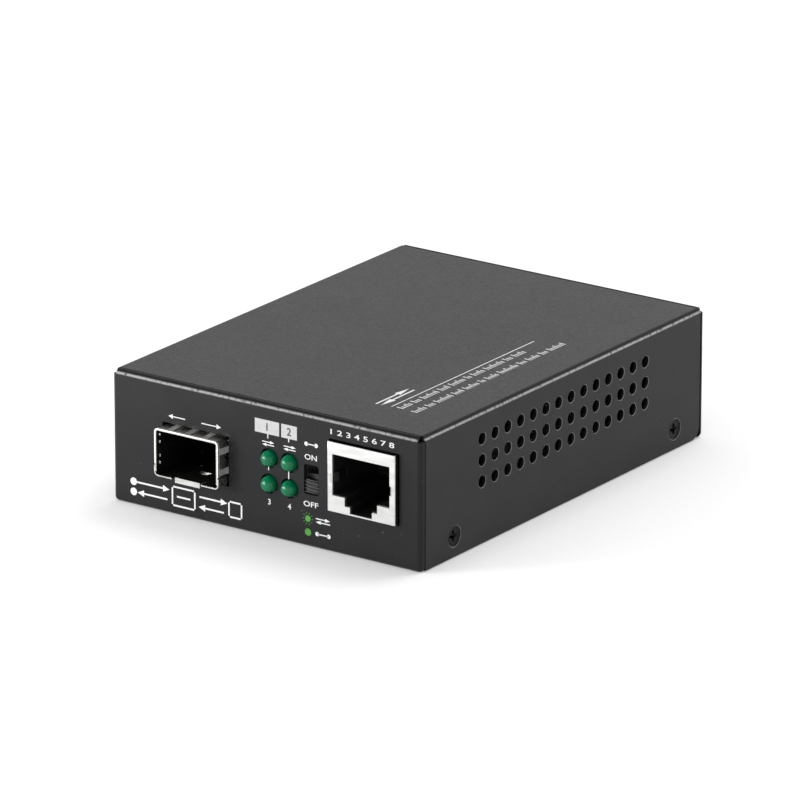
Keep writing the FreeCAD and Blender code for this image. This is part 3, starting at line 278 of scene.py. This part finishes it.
# %% Moulded plastics
def moulded_plastic(name, tone, lighter, roughness, size_mm=0.25):
    """Satin plastic with a spark-eroded skin whose pits are about size_mm wide."""
    plastic = new_material(name)
    position = add(plastic, "ShaderNodeTexCoord").outputs["Object"]
    flow = add(plastic, "ShaderNodeTexNoise", Vector=position, Scale=1 / (4 * MM))
    streaks = add(plastic, "ShaderNodeMapRange", Value=flow, From_Min=0.3, From_Max=0.7)
    tint = add(plastic, "ShaderNodeMix", {"data_type": "RGBA"}, _0=streaks, _6=colour(tone),
               _7=colour(lighter)).outputs[2]
    pits = add(plastic, "ShaderNodeTexNoise", Vector=position, Scale=1 / (size_mm * MM))
    satin = add(plastic, "ShaderNodeMapRange", Value=pits, From_Min=0.3, From_Max=0.7,
                To_Min=roughness, To_Max=roughness + 0.12)
    skin = add(plastic, "ShaderNodeBump", Height=pits, Distance=0.012 * MM, Strength=0.4)
    shader = add(plastic, "ShaderNodeBsdfPrincipled", Base_Color=tint, Roughness=satin, IOR=1.52,
                 Normal=skin)
    add(plastic, "ShaderNodeOutputMaterial", Surface=shader)
    return plastic


plastics = {
    # Black nylon: the darkest piece, with a satin sheen on its ribs.
    "black_plastic": moulded_plastic("black_nylon", "0c0c0d", "131314", 0.4),
    # Paper in phenolic resin, dark brown with no sheen, darkened further nearly to black: a
    # painted shade that keeps the switch's slot dark.
    "switch_laminate": moulded_plastic("phenolic_laminate_with_painted_shade", "1d1310", "241813", 0.5),
    # Moulding epoxy full of silica: charcoal rather than black, and matt.
    "chip_epoxy": moulded_plastic("chip_epoxy", "17171a", "1f1f22", 0.55),
    # Pressed and sintered ferrite: a slightly metallic dark grey.
    "ferrite": moulded_plastic("ferrite", "232325", "2c2c2e", 0.5),
    # Fired ceramic of the small parts: a warm tan that stands out on the green board.
    "chip_ceramic": moulded_plastic("fired_ceramic", "8a6f55", "9b7f64", 0.45),
}
print("plastics:", len(plastics))


# %% Dyed resin of the lamps
def diffused_epoxy():
    """Cast epoxy, glossy from the mould, with powder in it that spreads the light."""
    resin = new_material("diffused_green_epoxy")
    position = add(resin, "ShaderNodeTexCoord").outputs["Object"]
    powder = add(resin, "ShaderNodeTexNoise", Vector=position, Scale=1 / (0.6 * MM))
    settled = add(resin, "ShaderNodeMapRange", Value=powder, From_Min=0.35, From_Max=0.65)
    dye = add(resin, "ShaderNodeMix", {"data_type": "RGBA"}, _0=settled, _6=colour("006640"),
              _7=colour("007049")).outputs[2]
    polish = add(resin, "ShaderNodeMapRange", Value=powder, From_Min=0.3, From_Max=0.7,
                 To_Min=0.06, To_Max=0.11)
    shader = add(resin, "ShaderNodeBsdfPrincipled", Base_Color=dye, Roughness=polish, IOR=1.54,
                 Specular_IOR_Level=0.3, Subsurface_Weight=0.25,
                 Subsurface_Radius=(0.2 * MM, 0.8 * MM, 0.4 * MM), Subsurface_Scale=1.0)
    add(resin, "ShaderNodeOutputMaterial", Surface=shader)
    return resin


lamp_resin = diffused_epoxy()
print("resin:", lamp_resin.name)


# %% Board
def solder_mask():
    """Green epoxy mask over woven glass, whose cloth shows faintly as small squares."""
    mask = new_material("green_solder_mask")
    position = add(mask, "ShaderNodeTexCoord").outputs["Object"]
    weave = add(mask, "ShaderNodeTexChecker", Vector=position, Scale=1 / (1.6 * MM),
                Color1=colour("0b3b22"), Color2=colour("0c3f25"))
    flow = add(mask, "ShaderNodeTexNoise", Vector=position, Scale=1 / (0.8 * MM))
    gloss = add(mask, "ShaderNodeMapRange", Value=flow, From_Min=0.3, From_Max=0.7,
                To_Min=0.22, To_Max=0.32)
    shader = add(mask, "ShaderNodeBsdfPrincipled", Base_Color=weave, Roughness=gloss, IOR=1.5)
    add(mask, "ShaderNodeOutputMaterial", Surface=shader)
    return mask


board_finish = solder_mask()
print("board:", board_finish.name)


# %% Ink
def printing_ink(name, tone, starved):
    """Screen ink lies in a thin, slightly starved film, so its tone wavers a little."""
    ink = new_material(name)
    position = add(ink, "ShaderNodeTexCoord").outputs["Object"]
    film = add(ink, "ShaderNodeTexNoise", Vector=position, Scale=1 / (0.35 * MM))
    thin = add(ink, "ShaderNodeMapRange", Value=film, From_Min=0.3, From_Max=0.5)
    tint = add(ink, "ShaderNodeMix", {"data_type": "RGBA"}, _0=thin, _6=colour(starved),
               _7=colour(tone)).outputs[2]
    matt = add(ink, "ShaderNodeMapRange", Value=film, From_Min=0.3, From_Max=0.7,
               To_Min=0.5, To_Max=0.62)
    shader = add(ink, "ShaderNodeBsdfPrincipled", Base_Color=tint, Roughness=matt, IOR=1.48)
    add(ink, "ShaderNodeOutputMaterial", Surface=shader)
    return ink


white_ink = printing_ink("white_screen_ink", "d6d6d6", "c6c6c6")
grey_ink = printing_ink("grey_screen_ink", "b4b4b4", "a8a8a8")
dim_ink = printing_ink("thin_grey_screen_ink", "c6c6c6", "acacac")
dark_ink = printing_ink("dark_screen_ink", "262627", "202021")
green_ink = printing_ink("green_screen_ink", "3f8a26", "387c22")
print("inks: 5")

# %% [markdown]
# ## Giving each solid its finish
#
# The record names a material slot for each node. One table joins a slot to a finish, so a
# node that is added later gets its look by its slot alone. Only the cover differs from its
# slot, because its folds run the other way.

# %% Finishes by slot
finishes = {**metals, **plastics, "case_powder_coat": tray_finish, "board_laminate": board_finish,
            "led_resin": lamp_resin}
slot_of = {row["node"]: row["material_slot"] for row in frame["record"]["subparts"]}
for name, node in nodes.items():
    node.data.materials.clear()
    node.data.materials.append(cover_finish if name == "top_cover" else finishes[slot_of[name]])
print("finishes:", len(finishes))

# %% [markdown]
# ## Sheet and strip with soft edges
#
# Nothing cut or folded from sheet has a perfectly sharp edge: the press leaves a small
# radius, and it is this radius that catches a thin line of light round a hole or a rim. A
# copy of the solid is welded, its flat faces are joined up again, and a bevel of a few
# hundredths of a millimetre runs along the sharp edges. Smooth shading by angle then makes
# the folds round without touching the flats.


# %% Dress a solid
WELD = 0.0005 * MM                   # corners closer than this are one corner
FLAT_ANGLE = math.radians(0.6)       # faces that differ by less are one flat face
BEVEL_ANGLE = math.radians(28)       # edges sharper than this are softened
SMOOTH_ANGLE = math.radians(35)      # and edges blunter than this are shaded round
BEVEL_SEGMENTS = 2


def dressed(node, edge_mm):
    """A welded, bevelled copy of a CAD node that stands for it."""
    bpy.ops.object.select_all(action="DESELECT")
    source = nodes[node]
    piece = source.copy()
    piece.data = source.data.copy()
    piece.name = node + "_dressed"
    piece.data.name = piece.name
    piece.parent = None
    for key in list(piece.keys()):
        del piece[key]
    bpy.context.scene.collection.objects.link(piece)
    bpy.context.view_layer.objects.active = piece
    piece.select_set(True)
    bpy.ops.object.mode_set(mode="EDIT")
    bpy.ops.mesh.select_all(action="SELECT")
    bpy.ops.mesh.remove_doubles(threshold=WELD)
    bpy.ops.mesh.dissolve_limited(angle_limit=FLAT_ANGLE)
    bpy.ops.object.mode_set(mode="OBJECT")
    bevel = piece.modifiers.new("soft_edge", "BEVEL")
    bevel.width = edge_mm * MM
    bevel.segments = BEVEL_SEGMENTS
    bevel.limit_method = "ANGLE"
    bevel.angle_limit = BEVEL_ANGLE
    bevel.use_clamp_overlap = True
    bpy.ops.object.modifier_apply(modifier=bevel.name)
    bpy.ops.object.shade_smooth_by_angle(angle=SMOOTH_ANGLE)
    even = piece.modifiers.new("flat_faces_stay_flat", "WEIGHTED_NORMAL")
    even.keep_sharp = True
    even.weight = 100
    bpy.ops.object.modifier_apply(modifier=even.name)
    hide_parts(node)
    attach(piece, source["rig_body"])
    print(node, "dressed:", len(piece.data.polygons), "faces")
    return piece


SOFT_EDGES = {          # width of the soft edge in millimetres
    "base_tray": 0.06,
    "top_cover": 0.14,
    "cover_screws": 0.05,
    "sfp_cage_shell": 0.03,
    "sfp_cage_base": 0.03,
    "rj45_shield": 0.08,
    "rj45_housing": 0.06,
    "switch_knob": 0.05,
    "dc_jack_housing": 0.1,
}
soft = {node: dressed(node, edge_mm) for node, edge_mm in SOFT_EDGES.items()}

# %% [markdown]
# The rims of the punched vents and of the dimples under the screws get a much paler copy of
# the coat, a painted highlight that makes each rim read as a fine pale crescent. Those rims
# are the bevelled faces on the cover's two upright sides.

# %% Rims in the cover
RIM_ZONE = 0.3 * MM          # a rim's bevel lies within this of the outer face
BORDER = 2 * FOLD            # the folds and outer edges of each side, which stay black
SLANT_LOW = 0.2              # a bevel's normal has an x between that of a hole's wall
SLANT_HIGH = 0.97            # and that of the flat sheet
cover = soft["top_cover"].data
cover.materials.append(rim_highlight_finish)
rims = [face for face in cover.polygons
        if abs(face.center.x) > tray_high.x - RIM_ZONE
        and abs(face.center.y) < -FRONT - BORDER
        and BORDER < face.center.z < TOP - BORDER
        and SLANT_LOW < abs(face.normal.x) < SLANT_HIGH]
for face in rims:
    face.material_index = 1
print("faces on the rims:", len(rims))

# %% [markdown]
# Behind its rim the cage is a dark tunnel. The faces that look towards the middle of the
# tunnel take a dark, dull steel, a painted shade for the tunnel's darkness. So does the jack's
# shield behind its front plate, where it only surrounds the dark mouth.

# %% Inside of the cage
CAGE_Z = (cage_low.z + cage_high.z) / 2
RIM_DEPTH = 0.4 * MM         # the bright rim of the cage's mouth
PLATE_DEPTH = 0.45 * MM      # the bright front plate of the shield


def looks_inward(face):
    inward = Vector((CAGE_X - face.center.x, 0, CAGE_Z - face.center.z))
    return face.center.y > cage_low.y + RIM_DEPTH and face.normal.dot(inward) > 0


def behind_plate(face):
    return face.center.y > jack_low.y + PLATE_DEPTH


for node, takes_painted_shade in (("sfp_cage_shell", looks_inward), ("sfp_cage_base", looks_inward),
                      ("rj45_shield", behind_plate)):
    mesh = soft[node].data
    mesh.materials.append(shade_painted_nickel)
    shaded = [face for face in mesh.polygons if takes_painted_shade(face)]
    for face in shaded:
        face.material_index = 1
    print(node, "dull faces:", len(shaded))

# %% [markdown]
# ## The lamps
#
# Each lamp is a cast epoxy body: a hemisphere on a short cylinder with a collar at its
# foot. A sphere is cut through its middle, and its open rim is drawn out three times:
# backwards for the body, outwards to the collar's edge and backwards again for the collar.
# A sphere gives an even dome, which a spun profile with few points wouldn't.

# %% Model the lamps
LAMP_RADIUS = 1.55 * MM
COLLAR_RADIUS = 1.9 * MM
COLLAR_LENGTH = 1.0 * MM


def select_rim():
    """Selects the open edge loop, ready to be pulled."""
    bpy.ops.mesh.select_all(action="DESELECT")
    bpy.ops.mesh.select_mode(type="EDGE")
    bpy.ops.mesh.select_non_manifold()


def pull(distance, growth=1.0):
    """Draws the selected rim backwards by the distance, or outwards by the growth."""
    bpy.ops.mesh.extrude_edges_move(TRANSFORM_OT_translate={"value": (0, distance, 0)})
    if growth != 1.0:
        bpy.ops.transform.resize(value=(growth, 1.0, growth))


def lamp(node):
    low, high = (Vector(corner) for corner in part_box(node))
    centre = Vector(((low.x + high.x) / 2, low.y + LAMP_RADIUS, (low.z + high.z) / 2))
    bpy.ops.object.select_all(action="DESELECT")
    bpy.ops.mesh.primitive_uv_sphere_add(segments=64, ring_count=32, radius=LAMP_RADIUS,
                                         rotation=(math.radians(90), 0, 0))
    piece = bpy.context.object
    piece.name = node + "_lens"
    bpy.ops.object.transform_apply(location=True, rotation=True, scale=True)
    bpy.ops.object.mode_set(mode="EDIT")
    bpy.ops.mesh.select_all(action="SELECT")
    bpy.ops.mesh.bisect(plane_co=(0, 0, 0), plane_no=(0, 1, 0), clear_outer=True)
    select_rim()
    pull(high.y - COLLAR_LENGTH - centre.y)
    pull(0.0, COLLAR_RADIUS / LAMP_RADIUS)
    pull(COLLAR_LENGTH)
    bpy.ops.mesh.fill()
    bpy.ops.mesh.select_all(action="SELECT")
    bpy.ops.mesh.normals_make_consistent(inside=False)
    bpy.ops.object.mode_set(mode="OBJECT")
    piece.data.transform(Matrix.Translation(centre))
    bpy.ops.object.shade_smooth_by_angle(angle=SMOOTH_ANGLE)
    piece.data.materials.append(finishes["led_resin"])
    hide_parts(node)
    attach(piece, "case")


for node in LAMPS:
    lamp(node)
print("lamps:", len(LAMPS))

# %% [markdown]
# ## Print
#
# The legends are screen printed: a film of ink a few hundredths of a millimetre thick. Only
# plain marks are used: ON and OFF at the switch, digits, arrows, rules and dots. Each mark
# is a flat shape drawn in the plane of its face and then lifted by the film's thickness,
# so that it never flickers against the paint.

# %% Drawing tools for ink
INK_FILM = 0.02 * MM

# Each face is a matrix from a flat drawing (x right, y up) to its place on the case.
QUARTER = math.radians(90)
front_face = Matrix.Translation((0, FRONT - INK_FILM, 0)) @ Matrix.Rotation(QUARTER, 4, "X")
top_face = Matrix.Translation((0, 0, TOP + INK_FILM)) @ Matrix.Rotation(QUARTER, 4, "Z")


def start_drawing(name):
    """An empty sheet in edit mode, on which marks are drawn."""
    bpy.ops.object.select_all(action="DESELECT")
    bpy.ops.mesh.primitive_plane_add(size=1.0)
    sheet = bpy.context.object
    sheet.name = name
    bpy.ops.object.mode_set(mode="EDIT")
    bpy.ops.mesh.select_all(action="SELECT")
    bpy.ops.mesh.delete(type="VERT")
    return sheet


def bar(x0, x1, y0, y1, turn=0.0):
    """A filled rectangle, in millimetres of the drawing, turned about its middle."""
    centre = ((x0 + x1) / 2 * MM, (y0 + y1) / 2 * MM, 0)
    bpy.ops.mesh.primitive_plane_add(size=1.0, location=centre)
    bpy.ops.transform.resize(value=((x1 - x0) * MM, (y1 - y0) * MM, 1.0), center_override=centre)
    if turn:
        bpy.ops.transform.rotate(value=-math.radians(turn), orient_axis="Z",
                                 center_override=centre)


# %% Discs and arrowheads
TRIANGLE_LENGTH = 1.5        # of a three-cornered circle of radius 1, from base to tip
TRIANGLE_BASE = 1.732        # and along its base


def disc(x, y, radius, corners=32):
    bpy.ops.mesh.primitive_circle_add(vertices=corners, radius=radius * MM, fill_type="NGON",
                                      location=(x * MM, y * MM, 0))


def arrow(x, y, reach, width):
    """A filled triangle that points along x by its reach, which may be negative."""
    bpy.ops.mesh.primitive_circle_add(vertices=3, radius=1.0, fill_type="NGON",
                                      location=(0, 0, 0),
                                      rotation=(0, 0, -QUARTER if reach > 0 else QUARTER))
    bpy.ops.transform.resize(value=(abs(reach) / TRIANGLE_LENGTH * MM,
                                    width / TRIANGLE_BASE * MM, 1.0),
                             center_override=(0, 0, 0))
    bpy.ops.transform.translate(value=(x * MM, y * MM, 0))


# %% Putting a drawing on its face
def end_drawing(sheet, face, ink):
    """Leaves edit mode and lays the sheet on the face, with its marks facing out."""
    bpy.ops.mesh.select_all(action="SELECT")
    bpy.ops.mesh.normals_make_consistent(inside=False)
    bpy.ops.object.mode_set(mode="OBJECT")
    sheet.data.transform(face)
    wanted = (face.to_3x3() @ Vector((0, 0, 1))).normalized()
    turned = [polygon for polygon in sheet.data.polygons if polygon.normal.dot(wanted) < 0]
    for polygon in turned:
        polygon.flip()
    sheet.data.materials.append(ink)
    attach(sheet, "case")


# %% Lettering
CAP_HEIGHT = 0.7             # capitals are this share of the font's size
BOLDNESS = 0.018             # outline drawn out by this share of the height


def words(name, body, x, y, height, face, ink, width=None):
    """Plain lettering, centred on x with its foot at y, in millimetres."""
    bpy.ops.object.select_all(action="DESELECT")
    bpy.ops.object.text_add()
    piece = bpy.context.object
    piece.name = name
    piece.data.body = body
    piece.data.align_x = "CENTER"
    piece.data.size = height * MM / CAP_HEIGHT
    piece.data.offset = height * BOLDNESS * MM
    piece.data.resolution_u = 4
    bpy.ops.object.convert(target="MESH")
    piece = bpy.context.object
    xs = [vertex.co.x for vertex in piece.data.vertices]
    ys = [vertex.co.y for vertex in piece.data.vertices]
    stretch = (width * MM / (max(xs) - min(xs))) if width else 1.0
    tall = height * MM / (max(ys) - min(ys))
    recentre = Matrix.Translation((-(max(xs) + min(xs)) / 2, -min(ys), 0))
    sized = Matrix.Diagonal((stretch, tall, 1.0, 1.0))
    piece.data.transform(face @ Matrix.Translation((x * MM, y * MM, 0)) @ sized @ recentre)
    piece.data.materials.append(ink)
    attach(piece, "case")


# %% Legends round the switch
# Places are in millimetres, from the case's middle and above its bottom.
switch_mm = SWITCH_X / MM
words("legend_on", "ON", switch_mm - 0.1, 17.0, 1.05, front_face, white_ink, 2.75)
words("legend_off", "OFF", switch_mm - 0.1, 7.9, 1.05, front_face, white_ink, 3.3)

switch_mark = start_drawing("switch_mark")
bar(switch_mm - 0.9, switch_mm + 0.9, 19.9, 20.12)
disc(switch_mm - 1.1, 20.01, 0.42)
disc(switch_mm + 1.1, 20.01, 0.42)
end_drawing(switch_mark, front_face, white_ink)
print("switch legends: 3")

# %% Boxes and link lines of the lamps
lamp_x = sorted({round(middle(node).x / MM, 2) for node in LAMPS})
boxes = start_drawing("channel_boxes")
bar(-2.2, 3.3, 20.15, 22.8)
bar(3.77, 7.3, 20.15, 22.8)
end_drawing(boxes, front_face, grey_ink)
deeper = Matrix.Translation((0, -INK_FILM, 0))
words("channel_one", "1", 0.55, 20.75, 1.5, deeper @ front_face, dark_ink)
words("channel_two", "2", 5.53, 20.75, 1.5, deeper @ front_face, dark_ink)

links = start_drawing("lamp_link_lines")
bar(0.62, 0.84, 19.3, 20.15)
bar(5.33, 5.55, 19.5, 20.15)
bar(0.75, 0.97, 13.2, 13.8)
bar(5.3, 5.52, 12.35, 13.8)
end_drawing(links, front_face, white_ink)
print("lamp columns at", lamp_x)


# %% Marks of the lamps
def exchange_arrows(x, y, length, height):
    """Two opposed arrows in a length and a height, the upper one pointing along x."""
    half = height * 0.17 / 2
    for way, level in ((1, y + height * 0.72), (-1, y + height * 0.22)):
        tail = x - way * length / 2
        neck = x + way * length * 0.15
        bar(min(tail, neck), max(tail, neck), level - half, level + half)
        arrow(x + way * length * 0.272, level, way * length * 0.36, height * 0.56)


marks = start_drawing("lamp_marks")
exchange_arrows(lamp_x[0] - 0.2, 17.8, 2.7, 1.1)
exchange_arrows(lamp_x[1] + 0.1, 17.8, 2.7, 1.1)
end_drawing(marks, front_face, white_ink)
words("lamp_three", "3", lamp_x[0], 6.5, 1.1, front_face, white_ink)
words("lamp_four", "4", lamp_x[1], 6.5, 1.1, front_face, white_ink)
print("lamp marks: 4")

# %% Legend of the flashing and the steady lamp
FLASH_X = 9.7
FLASH_Z = 5.55
RAYS = 10
RAY_DISTANCE = 1.05
legend = start_drawing("lamp_legend")
for ray in range(RAYS):
    angle = 360 / RAYS * ray
    x = FLASH_X + RAY_DISTANCE * math.cos(math.radians(angle))
    y = FLASH_Z + RAY_DISTANCE * math.sin(math.radians(angle))
    bar(x - 0.14, x + 0.14, y - 0.06, y + 0.06, angle)
disc(FLASH_X, FLASH_Z, 0.62)
disc(9.74, 2.95, 0.7)
end_drawing(legend, front_face, green_ink)

meanings = start_drawing("legend_marks")
exchange_arrows(13.1, 5.0, 3.2, 1.3)
bar(11.9, 14.3, 2.85, 3.07)
disc(11.8, 2.96, 0.42)
disc(14.4, 2.96, 0.42)
end_drawing(meanings, front_face, white_ink)
print("rays:", RAYS)

# %% Numbers over the jack and arrows over the cage
words("contact_numbers", "1 2 3 4 5 6 7 8", JACK_X / MM - 0.35, 22.95, 1.05, front_face,
      white_ink, 14.2)

cage_mm = CAGE_X / MM
over_cage = start_drawing("fibre_pair")
for x, start, tip, way in ((cage_mm - 3.6, -1.57, -1.9, -1), (cage_mm + 3.6, -2.2, 1.6, 1)):
    bar(x + start, x + 1.27, 19.16, 19.36)
    arrow(x + tip, 19.26, 1.0 * way, 0.95)
end_drawing(over_cage, front_face, white_ink)
print("contact numbers and fibre arrows drawn")

# %% A plain diagram of what the case does: fibre pair, box, jack
LINE = 0.34
UPPER = 4.75
LOWER = 2.75
diagram = start_drawing("function_diagram")
for level in (UPPER, LOWER):
    disc(-30.2, level, 0.75, 24)
for start, stop, level in ((-29.4, -23.4, UPPER), (-27.8, -22.4, LOWER),
                           (-15.0, -10.1, UPPER), (-13.7, -9.4, LOWER)):
    bar(start, stop, level - LINE / 2, level + LINE / 2)
for x, level, reach in ((-22.9, UPPER, 1.5), (-28.3, LOWER, -1.5),
                        (-9.6, UPPER, 1.5), (-14.2, LOWER, -1.5)):
    arrow(x, level, reach, 1.3)
for left, right, low, high in ((-21.4, -15.9, 1.75, 5.75), (-8.4, -5.2, 2.1, 5.4)):
    bar(left, right, high - LINE, high)
    bar(left, right, low, low + LINE)
    bar(left, left + LINE, low, high)
    bar(right - LINE, right, low, high)
bar(-20.2, -17.1, 3.75 - LINE / 2, 3.75 + LINE / 2)
end_drawing(diagram, front_face, white_ink)
print("diagram drawn")

# %% [markdown]
# ## Print on the top
#
# The top carries a rule with marks beside it. The lines there read from front to rear, so
# the drawing is turned a quarter: its x runs to the rear, and its y runs to the left.

# %% Rule and rows on the top
top_rule = start_drawing("top_rule")
bar(-35.3, 11.1, -20.32, -20.08)
exchange_arrows(-30.4, -18.7, 10.5, 2.4)
end_drawing(top_rule, top_face, white_ink)

GROUPS = (5, 3, 7, 4, 6, 2, 5, 8, 3)     # ticks in each group, over and over
TICK = 0.38
TICK_PITCH = 0.72
GROUP_GAP = 0.65
top_rows = start_drawing("top_rows")
for start, stop, level in ((-35.2, 4.5, -22.75), (-35.5, 10.5, -26.1)):
    x = start
    sizes = itertools.cycle(GROUPS)
    while x < stop:
        for count in range(next(sizes)):
            tall = 1.05 if count % 3 else 1.55
            bar(x, x + TICK, level, level + tall)
            x += TICK_PITCH
        x += GROUP_GAP
end_drawing(top_rows, top_face, dim_ink)
print("print drawn")

# %% [markdown]
# ## Floor, light and camera
#
# The case stands on plain white paper. A soft box stands low at the front left, with a
# narrow strip close to the floor beside it, and a weaker box stands low at the back right:
# a folded edge only shows as a bright line if there is something low and bright for it to
# mirror. A large panel high at the back isn't mirrored, and its shadow falls to the
# front. The room is a white cove that darkens upwards: the top mirrors its pale horizon,
# and the crest of each fold its dim ceiling.


# %% Rays that see the room
def seen_or_mirrored(owner):
    """1 for a ray from the camera, a reflection or a clear piece, 0 for light that lands."""
    path = add(owner, "ShaderNodeLightPath")
    seen = add(owner, "ShaderNodeMath", {"operation": "MAXIMUM"},
               _0=path.outputs["Is Camera Ray"], _1=path.outputs["Is Glossy Ray"])
    return add(owner, "ShaderNodeMath", {"operation": "MAXIMUM"},
               _0=seen, _1=path.outputs["Is Transmission Ray"])


# %% Floor
def paper():
    """White paper. Seen or mirrored, it is lifted to white, and the shadow on it stays."""
    sheet = new_material("white_paper")
    position = add(sheet, "ShaderNodeTexCoord").outputs["Object"]
    fibres = add(sheet, "ShaderNodeTexNoise", Vector=position, Scale=1 / (1.1 * MM))
    tone = add(sheet, "ShaderNodeMapRange", Value=fibres, To_Min=0.7, To_Max=0.73)
    matt = add(sheet, "ShaderNodeBsdfDiffuse", Color=tone)
    lift = add(sheet, "ShaderNodeEmission", Color=(1, 1, 1, 1), Strength=0.16)
    lifted = add(sheet, "ShaderNodeAddShader", _0=matt, _1=lift)
    mix = add(sheet, "ShaderNodeMixShader", _0=seen_or_mirrored(sheet), _1=matt, _2=lifted)
    add(sheet, "ShaderNodeOutputMaterial", Surface=mix)
    return sheet


bpy.ops.object.select_all(action="DESELECT")
bpy.ops.mesh.primitive_plane_add(size=12.0, location=(0, 0, 0))
floor = bpy.context.object
floor.name = "floor"
floor.data.materials.append(paper())
print("floor:", floor.name)

# %% World
room = bpy.data.worlds.new("white_cove")
bpy.context.scene.world = room
room.use_nodes = True
room.node_tree.nodes.clear()
toward = add(room, "ShaderNodeTexCoord").outputs["Generated"]
height = add(room, "ShaderNodeSeparateXYZ", Vector=toward).outputs["Z"]
# Heights are sines: the wall is white up to 21 degrees, and dim from 42 degrees upwards.
wall = add(room, "ShaderNodeMapRange", Value=height, From_Min=0.36, From_Max=0.67,
           To_Min=1.15, To_Max=0.1)
cove = add(room, "ShaderNodeBackground", Color=(1, 1, 1, 1), Strength=wall)
fill = add(room, "ShaderNodeBackground", Color=(1, 1, 1, 1), Strength=0.86)
room_mix = add(room, "ShaderNodeMixShader", _0=seen_or_mirrored(room), _1=fill, _2=cove)
add(room, "ShaderNodeOutputWorld", Surface=room_mix)
print("room:", room.name)


# %% Soft boxes
def soft_box(name, azimuth, elevation, distance, width, height, watts, mirrored=True):
    """A panel lamp that faces the case, sizes in metres. Azimuth 0 is in front, + right."""
    turn = math.radians(azimuth)
    rise = math.radians(elevation)
    away = Vector((math.sin(turn) * math.cos(rise), -math.cos(turn) * math.cos(rise),
                   math.sin(rise)))
    panel = bpy.data.lights.new(name, "AREA")
    panel.shape = "RECTANGLE"
    panel.size = width
    panel.size_y = height
    panel.energy = watts
    box = bpy.data.objects.new(name, panel)
    bpy.context.scene.collection.objects.link(box)
    box.visible_glossy = mirrored
    box.location = Vector((0, 0, tray_high.z / 2)) + away * distance
    box.rotation_euler = away.to_track_quat("Z", "Y").to_euler()


soft_box("front_left_box", -42, 16, 0.9, 0.17, 0.26, 3.0)
soft_box("back_right_box", 142, 10, 1.0, 0.4, 0.26, 2.4)
soft_box("low_front_box", -38, 5, 0.2, 0.2, 0.03, 0.18)
soft_box("high_back_box", 165, 60, 0.8, 0.5, 0.5, 3.0, mirrored=False)
print("soft boxes: 4")

# %% Camera
CAMERA_DIP = 18.761          # degrees below the horizon
CAMERA_TURN = 35.095         # degrees round from straight in front, to the right
camera_data = bpy.data.cameras.new("camera")
camera_data.lens = 350.65
camera_data.sensor_width = 36.0
camera_data.clip_end = 20.0        # metres, past the far edge of the paper
camera = bpy.data.objects.new("camera", camera_data)
bpy.context.scene.collection.objects.link(camera)
camera.location = (0.796376, -1.137198, 0.485096)
camera.rotation_euler = (math.radians(90 - CAMERA_DIP), 0.0, math.radians(CAMERA_TURN))
bpy.context.scene.camera = camera
bpy.context.scene.view_settings.view_transform = "Standard"
print("camera lens:", camera_data.lens)
